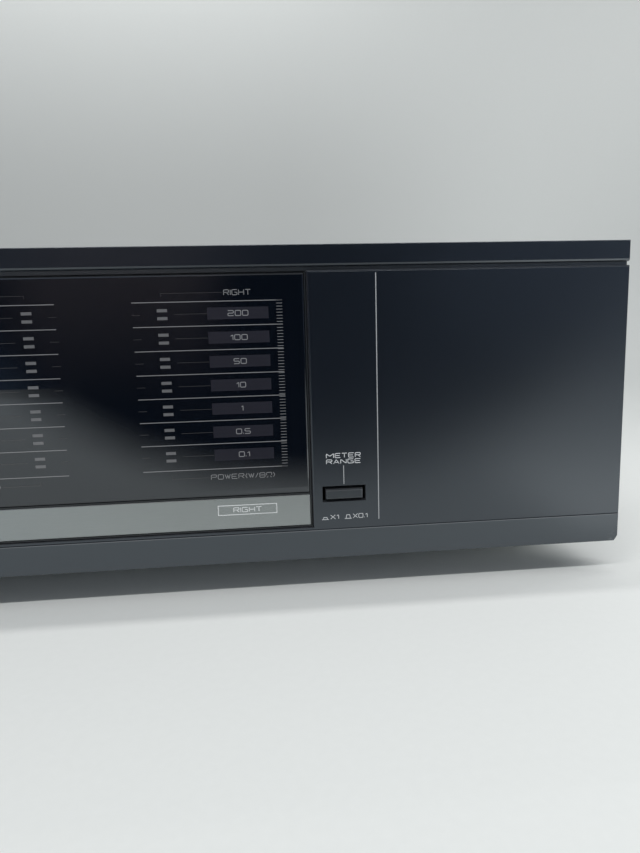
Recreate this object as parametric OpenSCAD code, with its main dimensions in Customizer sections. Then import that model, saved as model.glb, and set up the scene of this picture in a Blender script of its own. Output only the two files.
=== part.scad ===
// Full-width stereo power amplifier with a level display, push buttons and screw speaker terminals.
// Millimetres. +X is the viewer's right, +Y points to the back, +Z is up.
// The origin is on the floor, in the middle of the outline.

/* [Case] */
// Width of the front panel
panel_w = 440; // [430:1:480]
// Depth from the panel's face to the outer face of the rear panel
case_d = 345; // [340:1:420]
// Height of the panel's lower edge above the floor
floor_gap = 14; // [11:0.5:20]
// How far the panel stands past the cover at each end
panel_overhang = 5; // [3:0.5:8]
// How far the cover lies below the panel's top edge
cover_drop = 2; // [1:0.5:4]
// How far the base plate lies above the panel's lower edge
base_rise = 4; // [3.5:0.5:6]
// Thickness of the folded steel sheet
sheet_t = 1.2; // [1:0.1:1.5]
// Clearance between folded sheets that slip past each other
sheet_gap = 0.2; // [0.1:0.05:0.3]
// Outer radius of the cover's bends
cover_r = 3; // [2:0.25:5]
// How far the cover's sides stop above the base plate's underside
cover_rise = 2; // [1:0.5:4]
// Height of the cover's lip over the rear panel
cover_lip_h = 11; // [9:0.5:14]
// Height of the base's side lips
side_lip_h = 16; // [13:1:20]
// Height of the base's front and rear lips
end_lip_h = 12; // [10:0.5:14]
// Depth of the flanges along the tops of the bracket and the rear panel
top_flange_d = 14; // [10:1:18]

/* [Front panel] */
// Depth of the panel moulding from its face to its back edge
panel_d = 18; // [16:0.5:24]
// Thickness of the panel's front wall
panel_wall = 4; // [3.5:0.25:5]
// How far the panel's top, bottom and end walls run in past the cover and the base
rim_lap = 1.5; // [1:0.25:2.5]
// Height of the band along the top edge
top_band_h = 8.6; // [7:0.2:12]
// Height of the groove under the top band
groove_h = 1.6; // [1:0.2:3]
// Depth of the groove
groove_d = 2.2; // [1.6:0.1:2.6]
// Rounding of the top band's lower edge
band_round = 1; // [0.5:0.1:1.4]
// Rounding of the panel's outline and of the edge under the seam
outline_round = 0.3; // [0.2:0.1:0.6]
// Rounding of the panel's inner edges, the window, the strip and the buttons
edge_round = 0.7; // [0.4:0.1:0.8]
// Bevel on the feet, the rear plates, the caps and the gland
edge_bevel = 0.5; // [0.3:0.1:0.7]
// Height of the panel between the window opening and the seam
frame_low_h = 1; // [0.7:0.1:4]
// Height of the seam over the bottom band
seam_h = 0.2; // [0.2:0.1:1.6]
// Depth of the seam
seam_d = 1.4; // [0.8:0.1:2]
// Height of the band along the bottom edge
base_band_h = 12.6; // [11:0.2:16]
// Width of the cut at each lower corner
corner_cut_w = 1.7; // [1:0.1:3]
// Height of the cut at each lower corner
corner_cut_h = 2.7; // [1:0.1:4]
// Radius of the screw bosses behind the panel
boss_r = 4; // [3:0.25:5]
// Distance of the outer bosses from the panel's ends
boss_inset = 13; // [12:0.5:18]
// Distance of the inner bosses from the window opening
boss_step = 42; // [38:1:60]
// Distance of the upper bosses from the panel's top edge
boss_drop = 20; // [17:1:30]
// Distance of the lower bosses from the panel's lower edge
boss_rise = 27; // [25:1:34]

/* [Display] */
// Width of the smoked window
window_w = 165.2; // [150:0.2:180]
// Height of the smoked window
window_h = 90.4; // [82:0.2:100]
// Thickness of the window and of the strip
window_t = 2; // [1.5:0.1:2.2]
// How far the window and the strip lie below the panel's face
window_sink = 0.8; // [0.4:0.1:1]
// Distance from the window's top to the groove
window_drop = 0.8; // [0.6:0.1:1.5]
// Width of the frame round the window and the strip
frame_w = 0.5; // [0.4:0.05:1]
// Gap between that frame and the panel
window_gap = 0.4; // [0.3:0.05:0.6]
// Clearance of the window and the strip in the frame
seat_gap = 0.15; // [0.1:0.05:0.3]
// Height of the frame's bar between the window and the strip
divider_h = 0.6; // [0.5:0.1:2]
// Height of the silver strip
strip_h = 13.35; // [10:0.05:16]
// Distance from the window's top to the first row of indicators
first_row = 15.3; // [12:0.1:18]
// Distance between the rows of indicators
row_pitch = 9.58; // [9:0.02:10.5]
// Rows of indicators in each channel
row_count = 7; // [5:1:7]
// Distance of the indicators from the middle of the window
indicator_x = 26.1; // [18:0.1:50]
// Width of an indicator bar
indicator_w = 4.2; // [3:0.1:6]
// Height of an indicator bar
indicator_h = 1.25; // [1:0.05:1.6]
// Distance between the two bars of a row
indicator_split = 3.1; // [2.6:0.1:4]
// Clearance round an indicator bar in the light box
indicator_gap = 0.15; // [0.1:0.05:0.3]
// Thickness of the light box's face
light_face_t = 2; // [1.5:0.25:3]
// How far the light box laps over the edges of the opening
light_lap = 3; // [2:0.25:3.5]
// Thickness of the light box's walls
light_wall = 2; // [1.5:0.25:3]
// Room between the meter board and the bracket
meter_room = 3; // [2:0.25:4]
// Thickness of the circuit boards
board_t = 1.6; // [1:0.2:2.4]

/* [Buttons] */
// Width of a small button
button_w = 15.8; // [12:0.2:18]
// Height of a small button
button_h = 4.2; // [4:0.1:8]
// Width of the power button
power_w = 24; // [18:0.5:30]
// Height of the power button
power_h = 10; // [8:0.5:14]
// Gap round a button in the panel
button_gap = 1.3; // [0.5:0.1:1.4]
// How far a pressed button stands out of the panel
button_proud = 1; // [0.5:0.1:3]
// Travel of a button
button_travel = 3.5; // [2.5:0.1:5]
// Length of a button's head
head_l = 11; // [10:0.5:12]
// Side of a button's square stem
stem_s = 3.6; // [3:0.1:4]
// Clearance round a stem in its switch
stem_gap = 0.2; // [0.1:0.05:0.3]
// How far a pressed stem reaches into its switch
stem_reach = 12; // [10:0.5:16]
// Distance of the small buttons from the window opening
button_step = 13.4; // [13:0.1:20]
// Height of the lower row of buttons above the seam
button_rise = 15.2; // [12:0.1:20]
// Distance between the two speaker buttons
speaker_pitch = 24; // [18:0.5:30]
// Distance of the power button from the panel's end
power_inset = 38; // [34:0.5:50]
// Width of a small switch
switch_w = 22; // [18:0.5:26]
// Height of a small switch
switch_h = 11; // [9:0.5:14]
// Depth of a small switch
switch_d = 28; // [26:0.5:32]
// Width of the power switch
power_switch_w = 32; // [26:0.5:38]
// Height of the power switch
power_switch_h = 20; // [16:0.5:22]
// Depth of the power switch
power_switch_d = 34; // [28:0.5:36]

/* [Feet] */
// Radius of a foot at the top
foot_r = 24; // [20:0.5:28]
// How much a foot narrows towards the floor
foot_taper = 2; // [0.5:0.25:4]
// Distance of the feet from the cover's sides
foot_inset = 75; // [70:1:90]
// Distance of the front feet from the panel's face
foot_front = 76; // [72:1:90]
// Distance of the rear feet from the rear panel
foot_back = 56; // [46:1:70]
// Radius of the rubber pad under a foot
pad_r = 16; // [12:0.5:17]
// How far a pad stands below its foot
pad_proud = 1; // [0.5:0.1:2]
// How deep a pad sits in its foot
pad_seat = 2; // [1:0.1:3]
// Clearance round a pad and round a foot screw's head
pad_gap = 0.2; // [0.1:0.05:0.4]
// Room above a pad for the foot screw's head
foot_pocket = 3.2; // [2.9:0.1:4]

/* [Screws] */
// Radius of a case or board screw's shank
screw_r = 1.5; // [1.3:0.1:1.7]
// Radius of a case or board screw's head
screw_head_r = 3; // [2.6:0.1:3.4]
// Height of a screw's head
screw_head_h = 2; // [1.6:0.1:2.4]
// Radius of a foot or transformer screw's shank
bolt_r = 2; // [1.8:0.1:2.4]
// Radius of a foot or transformer screw's head
bolt_head_r = 4; // [3.6:0.1:4.6]
// Clearance round a shank in its hole
hole_gap = 0.2; // [0.1:0.05:0.3]
// How far a screw runs on past the last sheet
screw_end = 3; // [2:0.25:4]
// How far a panel screw runs into its boss
boss_grip = 9; // [6:0.5:10]

/* [Rear] */
// Distance of the terminals' middle from the amplifier's middle
terminal_x = 20; // [10:1:30]
// Height of the terminals' middle above the base plate
terminal_z = 48; // [40:1:70]
// Distance between the columns of terminals
post_pitch_x = 22; // [18:0.5:26]
// Distance between the rows of terminals
post_pitch_z = 26; // [20:0.5:32]
// Margin of the terminal plate round its posts
terminal_margin = 12; // [10:0.5:14]
// Thickness of the terminal plate
terminal_t = 4; // [3:0.25:5]
// Depth of the terminal plate's body inside the case
terminal_in = 9; // [6:0.5:12]
// Step from the plates to their bodies
body_step = 4; // [3:0.25:5]
// Width of the plates' ears, each with a screw
plate_ear = 9; // [8:0.25:10]
// Clearance of the plates' bodies in the rear panel
body_gap = 0.3; // [0.2:0.05:0.5]
// Radius of the collars round the posts
collar_r = 7.2; // [6.5:0.1:8]
// Height of the collars round the posts
collar_h = 1.6; // [1:0.1:2.5]
// Radius of a terminal stud
stud_r = 2.5; // [2:0.1:3]
// Width across the flats of a stud's hexagon
stud_hex = 9; // [8:0.25:10]
// Thickness of a stud's hexagon
stud_hex_t = 2; // [1.5:0.1:3]
// Room for the wire under a cap
wire_gap = 3; // [2.8:0.1:5]
// Radius of the wire hole through a stud
wire_hole_r = 1.2; // [0.8:0.1:1.3]
// Length of a stud's tail inside the case
stud_tail = 6; // [4:0.5:9]
// Radius of a terminal cap
cap_r = 6.5; // [6:0.1:7.5]
// Length of a terminal cap
cap_l = 14; // [10:0.5:18]
// Thickness of a cap's end
cap_end = 2; // [1.5:0.1:3]
// Grip grooves round a cap
cap_flutes = 12; // [8:1:16]
// Running clearance of a cap on its stud
cap_gap = 0.08; // [0.05:0.01:0.1]
// Clearance between a stud's tip and its cap's end
tip_gap = 0.3; // [0.2:0.05:0.5]
// Distance of the input jacks from the amplifier's middle
jack_x = 112; // [106:1:130]
// Height of the input jacks' middle above the base plate
jack_z = 74; // [60:1:80]
// Distance between the two input jacks
jack_pitch = 20; // [18:0.5:26]
// Width of the jack plate
jack_plate_w = 22; // [19:0.5:26]
// Thickness of the jack plate
jack_plate_t = 3; // [2:0.25:4]
// Depth of the jack plate's body inside the case
jack_in = 12; // [8:0.5:16]
// Outer radius of a jack's barrel
jack_r = 4.15; // [4:0.05:4.3]
// Wall of a jack's barrel
jack_wall = 0.7; // [0.5:0.05:1]
// Length of a jack's barrel past its flange
jack_l = 9; // [8:0.25:11]
// Radius of a jack's flange
jack_flange_r = 6.2; // [5.5:0.1:7]
// Thickness of a jack's flange
jack_flange_t = 1.2; // [0.8:0.1:2]
// Radius of a jack's middle contact hole
jack_hole_r = 1.6; // [1.5:0.05:1.7]
// Clearance of an insert in its barrel
insert_gap = 0.1; // [0.05:0.05:0.2]
// How far an insert stops below the end of its barrel
insert_drop = 1; // [0.5:0.1:2]
// Distance of the cord gland from the cover's side
gland_inset = 65; // [60:1:75]
// Height of the cord gland above the base plate
gland_z = 28; // [24:1:40]
// Radius of the cord's hole in the gland
gland_hole_r = 3.6; // [3:0.1:4.2]
// Radius of the gland's neck in the rear panel
gland_neck_r = 7.4; // [6.8:0.1:8]
// Radius of the gland's flange
gland_flange_r = 10; // [9:0.25:12]
// Thickness of the gland's flange
gland_flange_t = 5; // [4:0.25:7]
// Length of the gland inside the case
gland_in = 9; // [6:0.5:12]

/* [Power supply] */
// Width of the transformer's core
core_w = 96; // [84:1:104]
// Height of the transformer's core
core_h = 80; // [70:1:86]
// Stack of the transformer's core, front to back
core_d = 48; // [40:1:56]
// Width of the core's middle leg
leg_w = 32; // [26:1:36]
// Thickness of the core's outer legs and yokes
yoke_t = 16; // [13:0.5:17]
// How far the coil stands out of the core's front and back
coil_out = 18; // [12:0.5:22]
// Clearance of the coil in the core
coil_gap = 0.25; // [0.2:0.05:0.3]
// Corner radius of the coil
coil_r = 8; // [4:0.5:10]
// Distance of the transformer's middle from the panel's face
core_depth = 100; // [94:1:106]
// Thickness of the transformer's strap
strap_t = 1.5; // [1.2:0.1:2]
// Width of the strap's feet
strap_foot = 16; // [13:0.5:18]
// Radius of a filter capacitor
cap_can_r = 17.5; // [15:0.25:18]
// Height of a filter capacitor
cap_can_h = 72; // [60:1:80]
// Distance between the filter capacitors
can_pitch = 46; // [44:0.5:48]
// Distance of the filter capacitors from the panel's face
can_depth = 188; // [182:1:194]
// Thickness of a capacitor clamp
clamp_t = 1.2; // [1:0.1:1.6]
// Height of a capacitor clamp
clamp_h = 14; // [10:0.5:20]
// Clearance of a capacitor in its clamp
clamp_gap = 0.1; // [0.05:0.05:0.2]
// Length of a clamp's foot
clamp_foot = 11; // [8:0.5:13]
// Width of a clamp's foot
clamp_foot_w = 10; // [8:0.5:14]
// Width of the supply board
supply_w = 150; // [140:1:164]
// Depth of the supply board
supply_d = 74; // [68:1:84]
// Distance of the supply board's middle from the panel's face
supply_depth = 264; // [262:1:272]
// Side of the rectifier bridge
bridge_s = 28; // [22:0.5:32]
// Height of the rectifier bridge
bridge_h = 9; // [6:0.5:12]
// Width of a speaker relay
relay_w = 20; // [16:0.5:24]
// Depth of a speaker relay
relay_d = 28; // [22:0.5:30]
// Height of a speaker relay
relay_h = 24; // [18:0.5:28]
// Distance between the speaker relays
relay_pitch = 26; // [25:0.5:30]
// Radius of a fuse
fuse_r = 2.6; // [2:0.1:3]
// Length of a fuse
fuse_l = 20; // [18:0.5:24]
// Fuses on the supply board
fuse_count = 4; // [2:1:4]
// Distance between the fuses
fuse_pitch = 12; // [10:0.5:13]
// Side of a fuse clip
clip_s = 5; // [4.2:0.1:6]
// Height of a fuse's axis above the board
fuse_rise = 5; // [4:0.25:7]
// Clearance of a fuse in its clips
fuse_gap = 0.05; // [0.03:0.01:0.1]

/* [Channels] */
// Length of a heat sink, front to back
sink_l = 216; // [200:1:224]
// Height of a heat sink
sink_h = 96; // [86:1:100]
// Thickness of a heat sink's back
sink_t = 6; // [5:0.25:8]
// Length of a heat sink's fins
fin_l = 38; // [30:0.5:42]
// Thickness of a fin at its root
fin_t = 2.2; // [1.8:0.1:3]
// Thickness of a fin at its tip
fin_tip_t = 1.4; // [1:0.1:1.8]
// Distance between fins
fin_pitch = 9; // [8:0.25:12]
// Least margin past the first and the last fin
fin_margin = 2; // [1:0.25:4]
// Distance of the fins from the cover's sides
sink_gap = 8; // [5:0.5:10]
// Distance of the heat sinks from the panel's face
sink_depth = 66; // [64:1:70]
// Width of a vent slot
vent_w = 3.4; // [2.5:0.1:3.8]
// Length of a vent slot
vent_l = 40; // [30:0.5:42]
// Distance between vent slots
vent_pitch = 9; // [7:0.25:12]
// Vent slots in each row
vent_count = 22; // [16:1:22]
// Output transistors on each heat sink
device_count = 4; // [2:1:4]
// Distance between output transistors
device_pitch = 44; // [38:0.5:46]
// Width of an output transistor
device_w = 15.6; // [14:0.2:20]
// Height of an output transistor
device_h = 20; // [18:0.5:26]
// Thickness of an output transistor
device_t = 5; // [4:0.2:6]
// Height of the output transistors above the base plate
device_rise = 40; // [38:1:50]
// Height of a transistor's screw hole above its lower edge
device_hole = 14; // [12:0.25:14]
// Thickness of an insulating pad
pad_t = 0.3; // [0.2:0.05:0.5]
// Margin of an insulating pad round its transistor
pad_margin = 1; // [0.5:0.1:2]
// Width of a transistor's leads
lead_w = 1.2; // [1:0.1:1.4]
// Thickness of a transistor's leads
lead_t = 0.6; // [0.5:0.1:0.8]
// Distance between a transistor's leads
lead_pitch = 5.4; // [5:0.1:6]
// Width of a driver board
driver_w = 60; // [56:0.5:66]
// Length of a driver board
driver_l = 192; // [186:1:196]
// Gap between a driver board and its heat sink
driver_gap = 1; // [0.5:0.1:1.5]
// Height of the boards above the base plate
standoff_h = 12; // [10:0.5:16]
// Radius of a board standoff
standoff_r = 3.5; // [3:0.1:4]
// Distance of the board screws from a board's edges
board_inset = 6; // [5:0.25:8]
// Radius of a driver capacitor
driver_cap_r = 6; // [4:0.25:8]
// Height of a driver capacitor
driver_cap_h = 18; // [12:0.5:24]
// Width of an emitter resistor
resistor_w = 8; // [6:0.25:10]
// Length of an emitter resistor
resistor_l = 22; // [18:0.5:26]
// Height of an emitter resistor
resistor_h = 9; // [6:0.25:12]
// Radius of the wire looms
loom_r = 3; // [2:0.25:3.5]

/* [Hidden] */
$fn = 48;

// Small overlap that lets joined shapes fuse and cuts run right through
eps = 0.5;

// Heights
open_h = window_gap + frame_w + strip_h + divider_h + 3 * seat_gap + window_h + window_drop;
panel_h = base_band_h + seam_h + frame_low_h + open_h + groove_h + top_band_h;
z_low = floor_gap;
z_top = z_low + panel_h;
z_base = z_low + base_rise;
z_floor = z_base + sheet_t;
z_cover = z_top - cover_drop;
z_roof = z_cover - sheet_t;
z_seam = z_low + base_band_h + seam_h;
z_open = z_seam + frame_low_h;
z_open_top = z_open + open_h;
z_strip = z_open + window_gap + frame_w + seat_gap;
z_divider = z_strip + strip_h + seat_gap;
z_window = z_divider + divider_h + seat_gap;
z_window_top = z_window + window_h;
z_button = z_seam + button_rise;
z_board = z_floor + standoff_h;
z_board_top = z_board + board_t;
z_jack = z_floor + jack_z;
z_post = z_floor + terminal_z;
z_gland = z_floor + gland_z;

// Depths, with the outline's middle on the origin
cap_start = terminal_t + collar_h + stud_hex_t + wire_gap;
front_proud = button_proud + button_travel;
rear_proud = cap_start + cap_l;
y_face = (front_proud - case_d - rear_proud) / 2;
y_rear = y_face + case_d;
y_window = y_face + window_sink;
y_seat = y_window + window_t;
y_wall = y_face + panel_wall;
y_back = y_face + panel_d;
y_bracket = y_back + sheet_t;
y_inner = y_rear - sheet_t;
y_meter = y_back - meter_room - board_t;
y_sink = y_face + sink_depth;
y_core = y_face + core_depth;
y_cans = y_face + can_depth;
y_supply = y_face + supply_depth;
y_driver = y_sink + (sink_l - driver_l) / 2;
y_fuses = y_supply - supply_d / 2 + fuse_l / 2 + board_inset;

// Widths, measured out from the middle
pocket_half = window_w / 2 + seat_gap;
frame_half = pocket_half + frame_w;
open_half = frame_half + window_gap;
cover_half = panel_w / 2 - panel_overhang;
gland_x = cover_half - gland_inset;
terminal_half = 1.5 * post_pitch_x + terminal_margin;
jack_half = jack_plate_w / 2;
cover_in = cover_half - sheet_t;
lip_out = cover_in - sheet_gap;
lip_in = lip_out - sheet_t;
plate_half = lip_in - sheet_gap;
button_x = open_half + button_step;
power_x = -(panel_w / 2 - power_inset);
foot_x = cover_half - foot_inset;
sink_in = cover_in - sink_gap - fin_l - sink_t;
vent_x = sink_in + sink_t + fin_l / 2;
driver_out = sink_in - driver_gap;
driver_in = driver_out - driver_w;
meter_half = window_w / 2 - light_wall;
strap_half = core_w / 2 + strap_t;

// Walls of the panel moulding
rim_top = cover_drop + rim_lap;
rim_low = base_rise + rim_lap;
rim_end = panel_overhang + rim_lap;

// Places that repeat
upper_boss_z = z_top - boss_drop;
lower_boss_z = z_low + boss_rise;
outer_boss_x = panel_w / 2 - boss_inset;
inner_boss_x = open_half + boss_step;
boss_places = [
    for (s = [-1, 1]) each [
        [s * outer_boss_x, upper_boss_z],
        [s * outer_boss_x, lower_boss_z],
        [s * inner_boss_x, upper_boss_z]
    ]
];
button_places = [
    [power_x, z_button, power_w, power_h],
    [-button_x, z_button + speaker_pitch, button_w, button_h],
    [-button_x, z_button, button_w, button_h],
    [button_x, z_button, button_w, button_h]
];
foot_places = [
    for (x = [-foot_x, foot_x], y = [y_face + foot_front, y_rear - foot_back]) [x, y]
];
indicator_places = [
    for (s = [-1, 1], i = [0 : row_count - 1], h = [-0.5, 0.5])
        [s * indicator_x, z_window_top - first_row - i * row_pitch + h * indicator_split]
];
lip_screw_xs = [for (i = [-1 : 1]) i * plate_half * 0.8];
end_screw_xs = [for (i = [-1.5 : 1 : 1.5]) i * plate_half * 0.55];
side_screw_ys = [y_bracket + 3 * top_flange_d, y_inner - 3 * top_flange_d];
z_lip_screw = z_roof - (cover_lip_h - sheet_t) / 2;
z_end_screw = z_floor + (end_lip_h - sheet_t) / 2;
z_side_screw = (z_base + cover_rise + z_base + side_lip_h) / 2;
post_places = [
    for (row = [0.5, -0.5], col = [-1.5 : 1 : 1.5])
        [terminal_x + col * post_pitch_x, z_post + row * post_pitch_z]
];
jack_places = [for (row = [-0.5, 0.5]) [jack_x, z_jack + row * jack_pitch]];
terminal_ears = [for (s = [-1, 1]) [terminal_x + s * (terminal_half + plate_ear / 2), z_post]];
jack_ears = [for (s = [-1, 1]) [jack_x + s * (jack_half + plate_ear / 2), z_jack]];
strap_bolt_x = strap_half + strap_foot / 2;
strap_bolts = [for (x = [-strap_bolt_x, strap_bolt_x], h = [-0.25, 0.25]) [x, y_core + h * core_d]];
can_xs = [for (i = [-1.5 : 1 : 1.5]) i * can_pitch];
device_ys = [
    for (i = [0 : device_count - 1]) y_sink + sink_l / 2 + (i - (device_count - 1) / 2) * device_pitch
];
z_device = z_floor + device_rise;
z_device_hole = z_device + device_hole;
x_device = sink_in - pad_t - device_t;
driver_screws = [
    for (x = [driver_in + board_inset, driver_out - board_inset],
         y = [y_driver + board_inset, y_driver + driver_l - board_inset]) [x, y]
];
supply_screws = [
    for (x = [-0.5, 0.5], y = [-0.5, 0.5])
        [x * (supply_w - 2 * board_inset), y_supply + y * (supply_d - 2 * board_inset)]
];
fuse_xs = [for (i = [0 : fuse_count - 1]) supply_w / 2 - 3 * board_inset - i * fuse_pitch];

// Box between two opposite corners
module block(low, high) {
    translate(low) cube(high - low);
}

// The same shape on both sides of the middle
module both_sides() {
    children();
    mirror([1, 0, 0]) children();
}

// Round bar from a point along +X
module bar_x(start, r, l) {
    translate(start) rotate([0, 90, 0]) cylinder(r = r, h = l);
}

// Round bar from a point along +Y
module bar_y(start, r, l) {
    translate(start) rotate([-90, 0, 0]) cylinder(r = r, h = l);
}

// Round bar from a point along +Z
module bar_z(start, r, l) {
    translate(start) cylinder(r = r, h = l);
}

// Outline drawn as depth and height, drawn out sideways about the middle
module along_x(l) {
    rotate([90, 0, 90]) linear_extrude(height = l, center = true) children();
}

// Outline drawn as width and height, drawn out from one depth to another
module along_y(start, end) {
    translate([0, end, 0]) rotate([90, 0, 0]) linear_extrude(height = end - start) children();
}

// Half outline drawn as radius and length, turned about a line along +Y
module turned_y(start) {
    translate(start) rotate([-90, 0, 0]) rotate_extrude() children();
}

// Corner of an outline, rounded by r in two flats; the signs say which way the outline lies
function round_corner(p, r, sx, sy) =
    [p + [sx * r, 0], p + (1 - cos(45)) * r * [sx, sy], p + [0, sy * r]];

function reversed(v) = [for (i = [len(v) - 1 : -1 : 0]) v[i]];

// What the same rounding takes off a corner at the origin of a shape that lies along +x and +y
module corner_waste(r) {
    polygon(concat([[-eps, r], [-eps, -eps], [r, -eps]], round_corner([0, 0], r, 1, 1)));
}

// Plate with rounded edges round its front face
module round_plate(w, z_bottom, z_end, y_front, y_end, r) {
    intersection() {
        along_x(w) polygon(concat(
            [[y_end, z_bottom], [y_end, z_end]],
            round_corner([y_front, z_end], r, 1, -1),
            reversed(round_corner([y_front, z_bottom], r, 1, 1))
        ));
        translate([0, 0, z_bottom]) linear_extrude(height = z_end - z_bottom) polygon(concat(
            [[w / 2, y_end], [-w / 2, y_end]],
            reversed(round_corner([-w / 2, y_front], r, 1, 1)),
            round_corner([w / 2, y_front], r, -1, 1)
        ));
    }
}

// Slot with round ends, its length along X
module slot_outline(l, w) {
    square([l - w, w], center = true);
    for (s = [-0.5, 0.5]) translate([s * (l - w), 0]) circle(d = w);
}

// Rows of slots over or under the heat sinks, cut through one sheet
module vent_rows(z_bottom, z_end) {
    first = y_sink + (sink_l - (vent_count - 1) * vent_pitch) / 2;
    both_sides() for (i = [0 : vent_count - 1])
        translate([vent_x, first + i * vent_pitch, z_bottom])
            linear_extrude(height = z_end - z_bottom) slot_outline(vent_l, vent_w);
}

// Pan-head screw with a cross recess: its seat at the origin, its head along +Z
module screw(r, head_r, l) {
    recess = screw_head_h / 2;
    difference() {
        union() {
            cylinder(r1 = head_r, r2 = head_r * 0.8, h = screw_head_h);
            translate([0, 0, -l]) cylinder(r = r, h = l);
        }
        translate([0, 0, screw_head_h]) for (a = [0, 90])
            rotate(a) cube([head_r, head_r / 4, 2 * recess], center = true);
    }
}

// Case screw whose head points back
module screw_from_back(place, l) {
    translate(place) rotate([-90, 0, 0]) screw(screw_r, screw_head_r, l);
}

// Side view of the panel: depth behind the face, height above the lower edge
module panel_profile() {
    seam_low = base_band_h;
    seam_top = seam_low + seam_h;
    groove_top = panel_h - top_band_h;
    groove_low = groove_top - groove_h;
    polygon(concat(
        round_corner([0, 0], outline_round, 1, 1),
        reversed(round_corner([0, seam_low], outline_round, 1, -1)),
        [[seam_d, seam_low], [seam_d, seam_top], [0, seam_top]],
        reversed(round_corner([0, groove_low], edge_round, 1, -1)),
        [[groove_d, groove_low], [groove_d, groove_top]],
        round_corner([0, groove_top], band_round, 1, 1),
        reversed(round_corner([0, panel_h], outline_round, 1, -1)),
        [
            [panel_d, panel_h], [panel_d, panel_h - rim_top],
            [panel_wall, panel_h - rim_top], [panel_wall, rim_low],
            [panel_d, rim_low], [panel_d, 0]
        ]
    ));
}

module front_panel() color("#24282e") difference() {
    union() {
        translate([0, y_face, z_low]) along_x(panel_w) panel_profile();
        both_sides() block(
            [panel_w / 2 - rim_end, y_wall - eps, z_low + rim_low - eps],
            [panel_w / 2, y_back, z_top - rim_top + eps]
        );
        for (p = boss_places)
            bar_y([p.x, y_wall - eps, p.y], boss_r, panel_d - panel_wall + eps);
    }
    block([-open_half, y_face - eps, z_open], [open_half, y_wall + eps, z_open_top]);
    both_sides() opening_edge();
    both_sides() panel_end();
    both_sides() corner_cut();
    for (b = button_places) button_hole(b);
    for (p = boss_places)
        bar_y([p.x, y_back - boss_grip - eps, p.y], screw_r + hole_gap, boss_grip + 2 * eps);
}

// Rounding of the upright edge of the window opening
module opening_edge() {
    translate([open_half, y_face, z_open]) linear_extrude(height = open_h) corner_waste(edge_round);
}

// Rounding of the upright edge at the end of the panel
module panel_end() {
    translate([panel_w / 2, y_face, z_low - eps]) linear_extrude(height = panel_h + 2 * eps)
        mirror([1, 0]) corner_waste(outline_round);
}

// Slanted cut at a lower corner of the panel
module corner_cut() {
    along_y(y_face - eps, y_back + eps) translate([panel_w / 2, z_low]) polygon([
        [-corner_cut_w, 0], [-corner_cut_w, -eps], [eps, -eps], [eps, corner_cut_h], [0, corner_cut_h]
    ]);
}

module button_hole(b) {
    w = b[2] / 2 + button_gap;
    h = b[3] / 2 + button_gap;
    block([b.x - w, y_face - eps, b.y - h], [b.x + w, y_wall + eps, b.y + h]);
}

module display_window() color("#0b0d11")
    round_plate(window_w, z_window, z_window_top, y_window, y_seat, edge_round);

module silver_strip() color("#848a88")
    round_plate(window_w, z_strip, z_strip + strip_h, y_window, y_seat, edge_round / 2);

// Black box behind the window: a face with a slot for each bar, a frame in the panel's opening that holds
// the window and the strip, a wall round the board, corner posts
module light_box() color("#17181a") {
    face_half = open_half + light_lap;
    y_box = y_wall + light_face_t;
    difference() {
        union() {
            block([-face_half, y_wall, z_open - light_lap], [face_half, y_box, z_open_top + light_lap]);
            block([-frame_half, y_window, z_open + window_gap],
                  [frame_half, y_wall + eps, z_open_top - window_gap]);
        }
        for (z = [[z_strip - seat_gap, z_divider], [z_window - seat_gap, z_open_top]])
            block([-pocket_half, y_window - eps, z[0]], [pocket_half, y_seat, z[1]]);
        for (p = indicator_places) indicator(p, y_seat - eps, y_box + eps, indicator_gap);
    }
    difference() {
        block([-meter_half, y_box - eps, z_window + light_wall],
              [meter_half, y_meter, z_window_top - light_wall]);
        block([light_wall - meter_half, y_box - 2 * eps, z_window + 2 * light_wall],
              [meter_half - light_wall, y_meter + eps, z_window_top - 2 * light_wall]);
    }
    both_sides() for (z = [z_open, z_open_top - light_wall])
        block([face_half - light_wall, y_box - eps, z], [face_half, y_back, z + light_wall]);
}

module indicator(place, y_front, y_end, gap) {
    w = indicator_w / 2 + gap;
    h = indicator_h / 2 + gap;
    block([place.x - w, y_front, place.y - h], [place.x + w, y_end, place.y + h]);
}

module indicator_bars() color("#8e9092")
    for (p = indicator_places) indicator(p, y_seat + indicator_gap, y_meter, 0);

module meter_board() color("#3d5a3a")
    block([-meter_half, y_meter, z_window + light_wall],
          [meter_half, y_meter + board_t, z_window_top - light_wall]);

// Folded plate behind the panel that carries the display and the switches
module front_bracket() color("#9a9c98") difference() {
    cable_half = meter_half - 5 * light_wall;
    union() {
        block([-plate_half, y_back, z_base], [plate_half, y_bracket, z_roof - sheet_gap]);
        block([-plate_half, y_back, z_roof - sheet_gap - sheet_t],
              [plate_half, y_back + top_flange_d, z_roof - sheet_gap]);
    }
    block([-cable_half, y_back - eps, z_window + 5 * light_wall],
          [cable_half, y_bracket + eps, z_window_top - 5 * light_wall]);
    for (b = button_places)
        translate([b.x, (y_back + y_bracket) / 2, b.y])
            cube([2 * stem_s, sheet_t + 2 * eps, 2 * stem_s], center = true);
    for (p = boss_places)
        bar_y([p.x, y_back - eps, p.y], screw_r + hole_gap, sheet_t + 2 * eps);
    for (x = end_screw_xs)
        bar_y([x, y_back - eps, z_end_screw], screw_r + hole_gap, sheet_t + 2 * eps);
}

// Push button at rest pressed in, or let out by its travel
module push_button(b, out) {
    shift = out ? -button_travel : 0;
    face = y_face - button_proud + shift;
    tip = y_bracket + stem_reach + shift;
    translate([b.x, 0, b.y]) {
        round_plate(b[2], -b[3] / 2, b[3] / 2, face, face + head_l, edge_round);
        block([-stem_s / 2, face + head_l - eps, -stem_s / 2], [stem_s / 2, tip, stem_s / 2]);
    }
}

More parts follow.
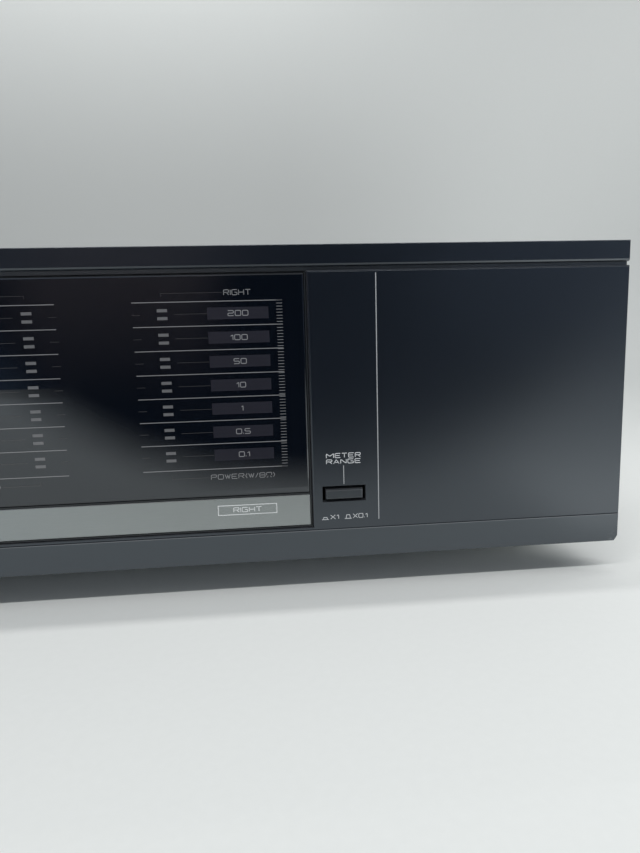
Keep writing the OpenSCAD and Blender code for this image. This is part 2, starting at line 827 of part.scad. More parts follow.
module power_button() color("#1d2025") push_button(button_places[0], true);
module speaker_a_button() color("#1d2025") push_button(button_places[1], false);
module speaker_b_button() color("#1d2025") push_button(button_places[2], true);
module meter_range_button() color("#1d2025") push_button(button_places[3], false);

// Switch behind the bracket, with the pocket that guides a stem
module push_switch(b, w, h, d) {
    guide = stem_s / 2 + stem_gap;
    translate([b.x, 0, b.y]) difference() {
        block([-w / 2, y_bracket, -h / 2], [w / 2, y_bracket + d, h / 2]);
        block([-guide, y_bracket - eps, -guide], [guide, y_bracket + stem_reach + button_travel, guide]);
    }
}

module power_switch() color("#2c2c2c")
    push_switch(button_places[0], power_switch_w, power_switch_h, power_switch_d);

module speaker_switches() color("#3a3a38")
    for (i = [1, 2]) push_switch(button_places[i], switch_w, switch_h, switch_d);

module meter_range_switch() color("#3a3a38")
    push_switch(button_places[3], switch_w, switch_h, switch_d);

module panel_screws() color("#b9bab6")
    for (p = boss_places) screw_from_back([p.x, y_bracket, p.y], sheet_t + boss_grip);

// Folded floor of the case with a lip on each side
module base_chassis() color("#a3a5a0") difference() {
    union() {
        block([-lip_out, y_bracket, z_base], [lip_out, y_inner, z_floor]);
        both_sides()
            block([lip_in, y_bracket, z_base], [lip_out, y_inner, z_base + side_lip_h]);
        for (y = [y_bracket, y_inner - sheet_t])
            block([-lip_out, y, z_base], [lip_out, y + sheet_t, z_base + end_lip_h]);
    }
    vent_rows(z_base - eps, z_floor + eps);
    for (p = concat(foot_places, strap_bolts))
        bar_z([p.x, p.y, z_base - eps], bolt_r + hole_gap, sheet_t + 2 * eps);
    for (x = end_screw_xs, y = [y_bracket, y_inner - sheet_t])
        bar_y([x, y - eps, z_end_screw], screw_r + hole_gap, sheet_t + 2 * eps);
    for (y = side_screw_ys) both_sides()
        bar_x([lip_in - eps, y, z_side_screw], screw_r + hole_gap, sheet_t + 2 * eps);
}

// Back wall with a flange along its top and cut-outs for the connectors
module rear_panel() color("#1b1c1e") difference() {
    hole_w = terminal_half - body_step + body_gap;
    hole_h = post_pitch_z / 2 + terminal_margin - body_step + body_gap;
    jack_w = jack_half - body_step + body_gap;
    jack_h = jack_pitch / 2 + jack_w;
    union() {
        along_y(y_inner, y_rear) translate([0, z_base])
            arch_outline(lip_out, z_roof - sheet_gap - z_base, cover_r);
        block([-plate_half, y_rear - top_flange_d, z_roof - sheet_gap - sheet_t],
              [plate_half, y_rear, z_roof - sheet_gap]);
    }
    block([terminal_x - hole_w, y_inner - eps, z_post - hole_h],
          [terminal_x + hole_w, y_rear + eps, z_post + hole_h]);
    block([jack_x - jack_w, y_inner - eps, z_jack - jack_h],
          [jack_x + jack_w, y_rear + eps, z_jack + jack_h]);
    bar_y([-gland_x, y_inner - eps, z_gland], gland_neck_r + insert_gap, sheet_t + 2 * eps);
    for (x = end_screw_xs)
        bar_y([x, y_inner - eps, z_end_screw], screw_r + hole_gap, sheet_t + 2 * eps);
    for (x = lip_screw_xs)
        bar_y([x, y_inner - eps, z_lip_screw], screw_r + hole_gap, sheet_t + 2 * eps);
    for (p = concat(terminal_ears, jack_ears))
        bar_y([p.x, y_inner - eps, p.y], screw_r + hole_gap, sheet_t + 2 * eps);
}

// Width and height of the cover, flat below and with round upper corners
module arch_outline(half, h, r) {
    translate([-half, 0]) square([2 * half, h - r]);
    translate([r - half, 0]) square([2 * (half - r), h]);
    for (s = [-1, 1]) translate([s * (half - r), h - r]) circle(r = r);
}

// Folded cover: roof, sides and a lip over the rear panel, with vent slots over the heat sinks
module top_cover() color("#202225") difference() {
    z_edge = z_base + cover_rise;
    union() {
        along_y(y_back + sheet_gap, y_rear + sheet_t) translate([0, z_edge]) difference() {
            arch_outline(cover_half, z_cover - z_edge, cover_r);
            translate([0, -eps]) arch_outline(cover_in, z_roof - z_edge + eps, cover_r - sheet_t);
        }
        block([-cover_in - eps, y_rear, z_cover - cover_lip_h],
              [cover_in + eps, y_rear + sheet_t, z_cover - cover_r]);
        block([cover_r - cover_half, y_rear, z_cover - cover_lip_h],
              [cover_half - cover_r, y_rear + sheet_t, z_cover - sheet_t / 2]);
    }
    vent_rows(z_roof - eps, z_cover + eps);
    for (x = lip_screw_xs)
        bar_y([x, y_rear - eps, z_lip_screw], screw_r + hole_gap, sheet_t + 2 * eps);
    for (y = side_screw_ys) both_sides()
        bar_x([cover_in - eps, y, z_side_screw], screw_r + hole_gap, sheet_t + 2 * eps);
}

// Moulded foot: tapered side, recess for the pad, pocket for the screw's head
module feet() color("#1a1b1c") {
    rim_r = foot_r - foot_taper;
    pad_top = pad_proud + pad_seat;
    pocket_top = pad_top + foot_pocket;
    bore = bolt_r + hole_gap;
    for (p = foot_places) translate([p.x, p.y, 0]) rotate_extrude() polygon([
        [bore, z_base], [foot_r, z_base], [foot_r, z_base - foot_taper],
        [rim_r, pad_proud + edge_bevel], [rim_r - edge_bevel, pad_proud],
        [pad_r + pad_gap, pad_proud], [pad_r + pad_gap, pad_top],
        [bolt_head_r + pad_gap, pad_top], [bolt_head_r + pad_gap, pocket_top], [bore, pocket_top]
    ]);
}

module foot_pads() color("#2e2f31")
    for (p = foot_places) bar_z([p.x, p.y, 0], pad_r, pad_proud + pad_seat);

module foot_screws() color("#b9bab6") {
    seat = pad_proud + pad_seat + foot_pocket;
    for (p = foot_places) translate([p.x, p.y, seat]) rotate([180, 0, 0])
        screw(bolt_r, bolt_head_r, z_floor + screw_end - seat);
}

module cover_screws() color("#1c1d1f") {
    for (x = lip_screw_xs) screw_from_back([x, y_rear + sheet_t, z_lip_screw], 2 * sheet_t + screw_end);
    for (y = side_screw_ys) both_sides() translate([cover_half, y, z_side_screw])
        rotate([0, 90, 0]) screw(screw_r, screw_head_r, 2 * sheet_t + sheet_gap + screw_end);
}

// Screws through the end lips of the base, and through the ears of the rear plates
module chassis_screws() color("#b9bab6") {
    for (x = end_screw_xs, y = [y_bracket + sheet_t, y_rear])
        screw_from_back([x, y, z_end_screw], 2 * sheet_t + screw_end);
    for (p = terminal_ears)
        screw_from_back([p.x, y_rear + terminal_t, p.y], terminal_t + sheet_t + screw_end);
    for (p = jack_ears)
        screw_from_back([p.x, y_rear + jack_plate_t, p.y], jack_plate_t + sheet_t + screw_end);
}

// Plate outside the rear panel with an ear at each end, and a narrower body that passes through the panel
module rear_fitting(place, half_w, half_h, t, inside) {
    outer = half_w + plate_ear;
    translate([place.x, 0, place.y]) difference() {
        union() {
            block([-outer, y_rear, -half_h], [outer, y_rear + t - edge_bevel, half_h]);
            block([edge_bevel - outer, y_rear, edge_bevel - half_h],
                  [outer - edge_bevel, y_rear + t, half_h - edge_bevel]);
            block([body_step - half_w, y_rear - inside, body_step - half_h],
                  [half_w - body_step, y_rear + edge_bevel, half_h - body_step]);
        }
        both_sides()
            bar_y([half_w + plate_ear / 2, y_rear - eps, 0], screw_r + hole_gap, t + 2 * eps);
    }
}

module jack_plate() color("#161719")
    rear_fitting([jack_x, z_jack], jack_half, jack_pitch / 2 + jack_half, jack_plate_t, jack_in);

// Metal barrel of an input jack on its round flange
module jack_shells() color("#c9c8c2") {
    inner = jack_r - jack_wall;
    for (p = jack_places) turned_y([p.x, y_rear + jack_plate_t, p.y]) polygon([
        [inner, 0], [jack_flange_r, 0], [jack_flange_r, jack_flange_t], [jack_r, jack_flange_t],
        [jack_r, jack_flange_t + jack_l], [inner, jack_flange_t + jack_l]
    ]);
}

module jack_inserts() color("#d8d6cf") {
    insert_r = jack_r - jack_wall - insert_gap;
    for (p = jack_places) turned_y([p.x, y_rear + jack_plate_t, p.y])
        translate([jack_hole_r, 0])
            square([insert_r - jack_hole_r, jack_flange_t + jack_l - insert_drop]);
}

// Terminal plate with a collar and a hole for each stud
module terminal_plate() color("#17181a") difference() {
    union() {
        rear_fitting([terminal_x, z_post], terminal_half, post_pitch_z / 2 + terminal_margin,
                     terminal_t, terminal_in);
        for (p = post_places)
            bar_y([p.x, y_rear + terminal_t - eps, p.y], collar_r, collar_h + eps);
    }
    for (p = post_places)
        bar_y([p.x, y_rear - terminal_in - eps, p.y], stud_r + insert_gap,
              terminal_in + terminal_t + collar_h + 2 * eps);
}

// Studs with a hexagon against the collar and a cross hole for the bare wire
module terminal_studs() color("#b8a45a") {
    tail = terminal_in + stud_tail;
    tip = cap_start + cap_l - cap_end - tip_gap;
    y_hex = y_rear + terminal_t + collar_h;
    for (p = post_places) difference() {
        union() {
            bar_y([p.x, y_rear - tail, p.y], stud_r, tail + tip);
            translate([p.x, y_hex, p.y]) rotate([-90, 0, 0])
                cylinder(d = stud_hex / cos(30), h = stud_hex_t, $fn = 6);
        }
        bar_z([p.x, y_hex + stud_hex_t + wire_gap / 2, p.y - 2 * stud_r], wire_hole_r, 4 * stud_r);
    }
}

// Screw cap with grip grooves and a blind bore for its stud
module terminal_cap(place) {
    shoulder = cap_r / 5;
    flute_r = cap_r / 8;
    translate([place.x, y_rear + cap_start, place.y]) rotate([-90, 0, 0]) difference() {
        rotate_extrude() polygon([
            [stud_r + cap_gap, 0], [cap_r - edge_bevel, 0], [cap_r, edge_bevel],
            [cap_r, cap_l - shoulder], [cap_r - shoulder, cap_l], [0, cap_l],
            [0, cap_l - cap_end], [stud_r + cap_gap, cap_l - cap_end]
        ]);
        for (i = [0 : cap_flutes - 1]) rotate(i * 360 / cap_flutes)
            translate([cap_r + flute_r / 3, 0, 2 * shoulder]) cylinder(r = flute_r, h = cap_l);
    }
}

module left_a_minus_cap() color("#1b1b1d") terminal_cap(post_places[0]);
module left_a_plus_cap() color("#8c2022") terminal_cap(post_places[1]);
module right_a_minus_cap() color("#1b1b1d") terminal_cap(post_places[2]);
module right_a_plus_cap() color("#8c2022") terminal_cap(post_places[3]);
module left_b_minus_cap() color("#1b1b1d") terminal_cap(post_places[4]);
module left_b_plus_cap() color("#8c2022") terminal_cap(post_places[5]);
module right_b_minus_cap() color("#1b1b1d") terminal_cap(post_places[6]);
module right_b_plus_cap() color("#8c2022") terminal_cap(post_places[7]);

// Bushing that a mains lead passes through: flange outside, neck in the sheet, barb inside
module cord_gland() color("#1d1e20") {
    neck_l = sheet_t + sheet_gap;
    barb_r = (gland_neck_r + gland_flange_r) / 2;
    turned_y([-gland_x, y_rear, z_gland]) polygon([
        [gland_hole_r, -gland_in], [gland_neck_r - edge_bevel, -gland_in], [barb_r, -neck_l - edge_bevel],
        [barb_r, -neck_l], [gland_neck_r, -neck_l], [gland_neck_r, 0], [gland_flange_r, 0],
        [gland_flange_r, gland_flange_t / 2], [gland_neck_r, gland_flange_t], [gland_hole_r, gland_flange_t]
    ]);
}

// Laminated core with the two openings that the coil passes through
module transformer_core() color("#5c5a55") difference() {
    slot = core_w / 2 - yoke_t;
    block([-core_w / 2, y_core - core_d / 2, z_floor], [core_w / 2, y_core + core_d / 2, z_floor + core_h]);
    both_sides()
        block([leg_w / 2, y_core - core_d / 2 - eps, z_floor + yoke_t],
              [slot, y_core + core_d / 2 + eps, z_floor + core_h - yoke_t]);
}

// Rectangle about the origin with round corners
module round_rect(half_w, half_d, r) {
    square([2 * (half_w - r), 2 * half_d], center = true);
    square([2 * half_w, 2 * (half_d - r)], center = true);
    for (x = [-1, 1], y = [-1, 1]) translate([x * (half_w - r), y * (half_d - r)]) circle(r = r);
}

module transformer_coil() color("#b08a3e")
    translate([0, y_core, z_floor + yoke_t + coil_gap])
        linear_extrude(height = core_h - 2 * (yoke_t + coil_gap)) difference() {
            round_rect(core_w / 2 - yoke_t - coil_gap, core_d / 2 + coil_out, coil_r);
            square([leg_w + 2 * coil_gap, core_d + 2 * coil_gap], center = true);
        }

// Steel strap over the core with a foot on each side
module transformer_strap() color("#8f918d") difference() {
    h = core_h + strap_t;
    foot = strap_half + strap_foot;
    along_y(y_core - core_d / 2, y_core + core_d / 2) translate([0, z_floor]) difference() {
        union() {
            translate([-strap_half, 0]) square([2 * strap_half, h]);
            translate([-foot, 0]) square([2 * foot, strap_t]);
        }
        translate([-core_w / 2, -eps]) square([core_w, core_h + eps]);
    }
    for (p = strap_bolts) bar_z([p.x, p.y, z_floor - eps], bolt_r + hole_gap, strap_t + 2 * eps);
}

module transformer_bolts() color("#b9bab6")
    for (p = strap_bolts) translate([p.x, p.y, z_floor + strap_t])
        screw(bolt_r, bolt_head_r, strap_t + sheet_t + screw_end);

// Can with a rolled groove near its foot and two terminals on its lid
module filter_capacitors() color("#23304a") {
    lid = cap_can_r / 10;
    for (x = can_xs) translate([x, y_cans, z_floor]) {
        rotate_extrude() polygon([
            [0, 0], [cap_can_r, 0], [cap_can_r, cap_can_h - 3 * lid],
            [cap_can_r - lid, cap_can_h - 2.5 * lid], [cap_can_r, cap_can_h - 2 * lid],
            [cap_can_r, cap_can_h - lid], [cap_can_r - lid, cap_can_h], [0, cap_can_h]
        ]);
        for (s = [-1, 1]) bar_z([s * cap_can_r / 3, 0, cap_can_h - eps], 2 * lid, 2 * lid + eps);
    }
}

module capacitor_clamps() color("#9a9c98") {
    inner = cap_can_r + clamp_gap;
    outer = inner + clamp_t;
    for (x = can_xs) translate([x, y_cans, z_floor]) difference() {
        union() {
            cylinder(r = outer, h = clamp_h);
            block([-clamp_foot_w / 2, 0, 0], [clamp_foot_w / 2, outer + clamp_foot, clamp_t]);
        }
        translate([0, 0, -eps]) cylinder(r = inner, h = clamp_h + 2 * eps);
    }
}

// Circuit board between two corners, with a hole for each of its screws
module circuit_board(low, high, places) {
    difference() {
        block([low.x, low.y, z_board], [high.x, high.y, z_board_top]);
        for (p = places) bar_z([p.x, p.y, z_board - eps], screw_r + hole_gap, board_t + 2 * eps);
    }
}

module supply_board() color("#4a6b3c")
    circuit_board([-supply_w / 2, y_supply - supply_d / 2], [supply_w / 2, y_supply + supply_d / 2],
                  supply_screws);

module rectifier_bridge() color("#1c1c1c") {
    x = -supply_w / 2 + 3 * board_inset;
    y = y_supply - bridge_s / 2;
    block([x, y, z_board_top], [x + bridge_s, y + bridge_s, z_board_top + bridge_h]);
}

module speaker_relays() color("#c9ccc8")
    for (s = [-0.5, 0.5]) {
        x = s * relay_pitch - relay_w / 2;
        y = y_supply + supply_d / 2 - relay_d - board_inset;
        block([x, y, z_board_top], [x + relay_w, y + relay_d, z_board_top + relay_h]);
    }

module fuses() color("#d4d6d0")
    for (x = fuse_xs) bar_y([x, y_fuses - fuse_l / 2, z_board_top + fuse_rise], fuse_r, fuse_l);

// Sprung clips with a round seat for the ends of the fuses
module fuse_clips() color("#c8b878")
    for (x = fuse_xs, s = [-1, 1]) {
        y = y_fuses + s * (fuse_l - clip_s) / 2;
        half = fuse_r + fuse_gap + clip_s / 5;
        difference() {
            block([x - half, y - clip_s / 2, z_board_top],
                  [x + half, y + clip_s / 2, z_board_top + fuse_rise + fuse_r / 2]);
            bar_y([x, y - clip_s, z_board_top + fuse_rise], fuse_r + fuse_gap, 2 * clip_s);
            block([x - fuse_r / 2, y - clip_s, z_board_top + fuse_rise],
                  [x + fuse_r / 2, y + clip_s, z_board_top + fuse_rise + fuse_r]);
        }
    }

// Comb of tapered fins on a thick back: distance out from the back, distance along it
module sink_outline() {
    count = floor((sink_l - 2 * fin_margin - fin_t) / fin_pitch) + 1;
    first = (sink_l - (count - 1) * fin_pitch - fin_t) / 2;
    slope = (fin_t - fin_tip_t) / 2;
    tip = sink_t + fin_l;
    fins = [
        for (i = [0 : count - 1]) let (v = first + i * fin_pitch) each [
            [sink_t, v], [tip, v + slope], [tip, v + fin_t - slope], [sink_t, v + fin_t]
        ]
    ];
    polygon(concat([[0, 0], [sink_t, 0]], fins, [[sink_t, sink_l], [0, sink_l]]));
}

// Right-hand heat sink: fins stand upright and point to the cover's side
module heat_sink() difference() {
    translate([sink_in, y_sink, z_floor]) linear_extrude(height = sink_h) sink_outline();
    for (y = device_ys)
        bar_x([sink_in - eps, y, z_device_hole], screw_r + hole_gap, sink_t);
}

module right_heat_sink() color("#2a2c2f") heat_sink();
module left_heat_sink() color("#2a2c2f") mirror([1, 0, 0]) heat_sink();

// Flat power transistor, with its screw hole and three leads down to the driver board
module output_transistors() color("#1e1e20") both_sides() for (y = device_ys) {
    lead_x = x_device + device_t / 2;
    difference() {
        block([x_device, y - device_w / 2, z_device],
              [x_device + device_t, y + device_w / 2, z_device + device_h]);
        bar_x([x_device - eps, y, z_device_hole], screw_r + hole_gap, device_t + 2 * eps);
    }
    for (i = [-1 : 1])
        block([lead_x - lead_t / 2, y + i * lead_pitch - lead_w / 2, z_board_top],
              [lead_x + lead_t / 2, y + i * lead_pitch + lead_w / 2, z_device + eps]);
}

module insulating_pads() color("#b9c4bd") both_sides() for (y = device_ys) {
    half = device_w / 2 + pad_margin;
    difference() {
        block([sink_in - pad_t, y - half, z_device - pad_margin],
              [sink_in, y + half, z_device + device_h + pad_margin]);
        bar_x([sink_in - pad_t - eps, y, z_device_hole], screw_r + hole_gap, pad_t + 2 * eps);
    }
}

module transistor_screws() color("#b9bab6") both_sides() for (y = device_ys)
    translate([x_device, y, z_device_hole]) rotate([0, -90, 0])
        screw(screw_r, screw_head_r, device_t + pad_t + sink_t - 2 * eps);

module driver_board()
    circuit_board([driver_in, y_driver], [driver_out, y_driver + driver_l], driver_screws);

module right_driver_board() color("#4a6b3c") driver_board();
module left_driver_board() color("#4a6b3c") mirror([1, 0, 0]) driver_board();

module driver_capacitors() color("#2a2d3a") both_sides() for (y = device_ys)
    bar_z([driver_in + driver_w / 3, y, z_board_top], driver_cap_r, driver_cap_h);

module emitter_resistors() color("#d9d5c6") both_sides() for (y = device_ys) {
    x = driver_in + driver_w * 0.7 - resistor_w / 2;
    block([x, y - resistor_l / 2, z_board_top],
          [x + resistor_w, y + resistor_l / 2, z_board_top + resistor_h]);
}

// A threaded post at a board's hole
module standoff(p) {
    difference() {
        bar_z([p.x, p.y, z_floor], standoff_r, standoff_h);
        bar_z([p.x, p.y, z_board - screw_end - 2 * eps], screw_r + hole_gap, screw_end + 3 * eps);
    }
}

module board_standoffs() color("#c2c3bf") {
    for (p = supply_screws) standoff(p);
    both_sides() for (p = driver_screws) standoff(p);
}

module board_screw(p) {
    translate([p.x, p.y, z_board_top]) screw(screw_r, screw_head_r, board_t + screw_end);
}

module board_screws() color("#b9bab6") {
    for (p = supply_screws) board_screw(p);
    both_sides() for (p = driver_screws) board_screw(p);
}

// Straight run between two points
module run(a, b) {
    v = b - a;
    turn = atan2(v.y, v.x);
    lean = acos(v.z / norm(v));
    translate(a) rotate([0, lean, turn]) cylinder(r = loom_r, h = norm(v));
}

// Bundle of leads: straight runs with round bends between them
module loom(points) {
    for (i = [1 : len(points) - 1]) run(points[i - 1], points[i]);
    for (i = [1 : len(points) - 2]) translate(points[i]) sphere(r = loom_r);
}

// Leads from the transformer to the supply board and to the power switch
module wire_looms() color("#6a2f2c") {
    coil_top = z_floor + core_h - yoke_t - coil_gap;
    lift = 3 * loom_r;
    coil_back = y_core + core_d / 2 + coil_out / 2;
    coil_front = y_core - core_d / 2 - coil_out / 2;
    y_switch = y_bracket + power_switch_d;
    x_bridge = -supply_w / 2 + 2 * board_inset;
    y_bridge = y_supply + supply_d / 4;
    roof = z_floor + cap_can_h + 4 * lift;
    loom([
        [0, coil_back, coil_top], [0, coil_back, roof], [x_bridge, coil_back, roof],
        [x_bridge, y_bridge, roof], [x_bridge, y_bridge, z_board_top]
    ]);
    loom([
        [0, coil_front, coil_top], [0, coil_front, roof],
        [power_x, coil_front, roof], [power_x, y_switch + 2 * loom_r, roof],
        [power_x, y_switch + 2 * loom_r, z_button], [power_x, y_switch, z_button]
    ]);
}

front_panel();
display_window();
silver_strip();
light_box();
indicator_bars();
meter_board();
front_bracket();
power_button();
speaker_a_button();
speaker_b_button();
meter_range_button();
power_switch();
speaker_switches();
meter_range_switch();
panel_screws();
base_chassis();
rear_panel();
top_cover();
feet();
foot_pads();
foot_screws();
cover_screws();
chassis_screws();
jack_plate();
jack_shells();
jack_inserts();
terminal_plate();
terminal_studs();
left_a_minus_cap();
left_a_plus_cap();
right_a_minus_cap();
right_a_plus_cap();
left_b_minus_cap();
left_b_plus_cap();
right_b_minus_cap();
right_b_plus_cap();
cord_gland();
transformer_core();
transformer_coil();
transformer_strap();
transformer_bolts();
filter_capacitors();
capacitor_clamps();
supply_board();
rectifier_bridge();
speaker_relays();
fuses();
fuse_clips();
left_heat_sink();
right_heat_sink();
output_transistors();
insulating_pads();
transistor_screws();
left_driver_board();
right_driver_board();
driver_capacitors();
emitter_resistors();
board_standoffs();
board_screws();
wire_looms();
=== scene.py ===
# %% [markdown]
# # A stereo power amplifier, dressed for its picture
# The solids of this amplifier are already made: each piece at its real size, in metres, on the body
# that it moves with. This lesson gives every piece its finish, adds the printing on the front, which
# is too thin to be a solid, and sets up the camera, the floor and the light.
# The packed model is loaded first, because every later place is measured from it.

# %% Load the packed amplifier
import math

import bpy
import numpy as np
from mathutils import Matrix, Vector


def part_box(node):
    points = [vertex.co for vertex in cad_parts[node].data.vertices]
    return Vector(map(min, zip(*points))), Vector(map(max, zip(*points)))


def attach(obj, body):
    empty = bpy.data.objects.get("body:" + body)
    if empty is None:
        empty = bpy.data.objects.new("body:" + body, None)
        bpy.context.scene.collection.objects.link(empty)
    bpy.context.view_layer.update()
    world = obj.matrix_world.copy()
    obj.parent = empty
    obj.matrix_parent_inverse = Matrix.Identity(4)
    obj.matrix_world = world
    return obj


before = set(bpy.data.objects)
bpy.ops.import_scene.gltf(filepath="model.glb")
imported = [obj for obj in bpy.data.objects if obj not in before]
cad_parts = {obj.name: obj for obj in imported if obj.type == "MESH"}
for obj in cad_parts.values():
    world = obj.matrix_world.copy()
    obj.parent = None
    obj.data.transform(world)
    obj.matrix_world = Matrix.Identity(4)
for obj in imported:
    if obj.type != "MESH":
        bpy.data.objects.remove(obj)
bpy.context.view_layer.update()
mm = 0.001

# %% [markdown]
# ## The camera
# The photograph was taken by hand from a quarter of a metre away, a little to the right of the
# panel's middle and just under the height of its top edge. So close, a wide lens makes the far end
# of the panel fall away. A Track To constraint could aim the camera, but a hand-held one is also
# rolled a little, so it is turned by three angles: yaw to the right, pitch down, and roll.

# %% Set the camera
LONG_SIDE = 853
FOCAL_LENGTH = 603.9
panel_low, panel_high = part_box("front_panel")
eye = Vector((64.9 * mm, panel_low.y - 247 * mm, panel_high.z - 37 * mm))
yaw, pitch, roll = (math.radians(angle) for angle in (5.24, -8.36, -1.57))
camera = bpy.data.objects.new("camera", bpy.data.cameras.new("camera"))
camera.data.lens = FOCAL_LENGTH * camera.data.sensor_width / LONG_SIDE
camera.matrix_world = (
    Matrix.Translation(eye)
    @ Matrix.Rotation(-yaw, 4, "Z")
    @ Matrix.Rotation(math.pi / 2 + pitch, 4, "X")
    @ Matrix.Rotation(roll, 4, "Z")
)
bpy.context.collection.objects.link(camera)
bpy.context.scene.camera = camera
bpy.context.scene.view_settings.view_transform = "Standard"
print(f"lens {camera.data.lens:.1f} mm, {eye.y - panel_low.y:.3f} m from the panel")

# %% [markdown]
# ## Shader sums in plain Python
# A finish is a small network of nodes. Wired by hand it is hard to read, so one class wraps an output
# socket: adding or multiplying two wires adds the Math node that does it, and `node` adds any other
# kind of node. Patterns are read from Object coordinates. Every piece sits at the origin, so these are
# plain metres on the amplifier, and a pattern stays on its piece when the piece moves.

# %% Wrap a socket
class Wire:
    """One output socket of a material. Sums on wires add Math nodes; node() adds any other node."""

    def __init__(self, socket):
        self.socket = socket

    def node(self, kind, settings, sockets, output=0):
        """Add a node: set its settings first, then give each of its sockets a value or a wire."""
        made = self.socket.id_data.nodes.new(kind)
        for name, value in settings.items():
            setattr(made, name, value)
        plug(made.inputs, sockets)
        return Wire(made.outputs[output])

    def sum(self, operation, first, second):
        """Add one Math node."""
        return self.node("ShaderNodeMath", {"operation": operation}, {0: first, 1: second})

    def __add__(self, other):
        return self.sum("ADD", self, other)

    def __sub__(self, other):
        return self.sum("SUBTRACT", self, other)

    def __rsub__(self, other):
        return self.sum("SUBTRACT", other, self)

    def __mul__(self, other):
        return self.sum("MULTIPLY", self, other)

    def __truediv__(self, other):
        return self.sum("DIVIDE", self, other)

    def __rtruediv__(self, other):
        return self.sum("DIVIDE", other, self)

    def __mod__(self, other):
        return self.sum("FLOORED_MODULO", self, other)

    def __rmod__(self, other):
        return self.sum("FLOORED_MODULO", other, self)

    def __gt__(self, other):
        return self.sum("GREATER_THAN", self, other)

    def __lt__(self, other):
        return self.sum("LESS_THAN", self, other)

    __radd__ = __add__
    __rmul__ = __mul__


def plug(inputs, sockets):
    """Give each socket its wire, or its value; a colour of three numbers is made opaque."""
    for name, value in sockets.items():
        socket = inputs[name]
        if isinstance(value, Wire):
            socket.id_data.links.new(socket, value.socket)
        elif socket.type == "RGBA":
            socket.default_value = (*value, 1.0)
        else:
            socket.default_value = value


print("sums on wires:", ", ".join(name.strip("_") for name in vars(Wire) if name.startswith("__r")))

# %% [markdown]
# ## Patterns that most finishes share
# Real surfaces are never one flat number. Clouds of noise make a finish uneven over centimetres, fine
# grain over tenths of a millimetre, and a bump turns a grey value into a surface that is raised there.

# %% Write the shared patterns
def new_finish(name):
    """An empty material: itself, its shader's sockets, and a wire with the piece's place in metres."""
    material = bpy.data.materials.new(name)
    material.use_nodes = True
    nodes = material.node_tree.nodes
    place = nodes.new("ShaderNodeTexCoord")
    return material, nodes["Principled BSDF"].inputs, Wire(place.outputs["Object"])


def noise(place, size, detail=2.0):
    """Cloudy value about 0.5, whose lumps are about size metres across."""
    return place.node(
        "ShaderNodeTexNoise", {}, {"Vector": place, "Scale": 1 / size, "Detail": detail}
    )


def climb(value, low, high):
    """Goes smoothly from 0, where the value is low, to 1, where it is high."""
    return value.node(
        "ShaderNodeMapRange", {"interpolation_type": "SMOOTHSTEP"}, {0: value, 1: low, 2: high}
    )


def between(value, low, high):
    """1 where the value lies between low and high, and 0 elsewhere."""
    return (value > low) * (value < high)


def blend(mask, first, second):
    """Colour that goes from the first to the second as the mask goes from 0 to 1."""
    return mask.node(
        "ShaderNodeMix", {"data_type": "RGBA"}, {0: mask, 6: first, 7: second}, output=2
    )


def stretch(place, x, y, z):
    """Places scaled along each axis, so that lumps on them are drawn out into grain."""
    return place.node(
        "ShaderNodeVectorMath", {"operation": "MULTIPLY"}, {0: place, 1: (x, y, z)}
    )


def parts(place):
    """The width, depth and height of a place, as three wires."""
    return [place.node("ShaderNodeSeparateXYZ", {}, {0: place}, output=k) for k in range(3)]


def bump(height, depth, strength=1.0):
    """Normal of a surface that stands up to depth metres higher where the height is 1."""
    return height.node(
        "ShaderNodeBump", {}, {"Height": height, "Distance": depth, "Strength": strength}
    )


print("patterns ready: noise, climb, between, blend, stretch, parts, bump")

# %% [markdown]
# ## The satin front panel
# The panel is a near-black moulding with a satin coat. It has almost no colour of its own: what shows
# is a soft, slightly blue picture of the pale floor in front of it, stronger towards its lower edge.
# So the base colour is very dark, and the look comes from the gloss: a strong specular level, a
# roughness that blurs the floor into a gradient, and a grain too fine to see as dots.
# Wear and dirt could be painted by hand, but here each is a mask worked out from the place on the panel.
# The lower corners knock against door frames and are scuffed: noise, kept to a few millimetres. The edge
# under the seam is painted lighter, a painted highlight where light catches its rounding, while the seam and
# the edge under the groove stay dull, and dust lies in the groove. The coat is sprayed from the front, so the
# walls of the button openings and the sides of the buttons stay bare plastic.

# %% Finish of the front panel
SCUFF = 6 * mm
COAT_REACH = 0.5 * mm
BUTTONS = ["power_button", "speaker_a_button", "speaker_b_button", "meter_range_button"]
SEAM = panel_low.z + 12.6 * mm
GROOVE_LOW, GROOVE_TOP = panel_high.z - 10.2 * mm, panel_high.z - 8.6 * mm


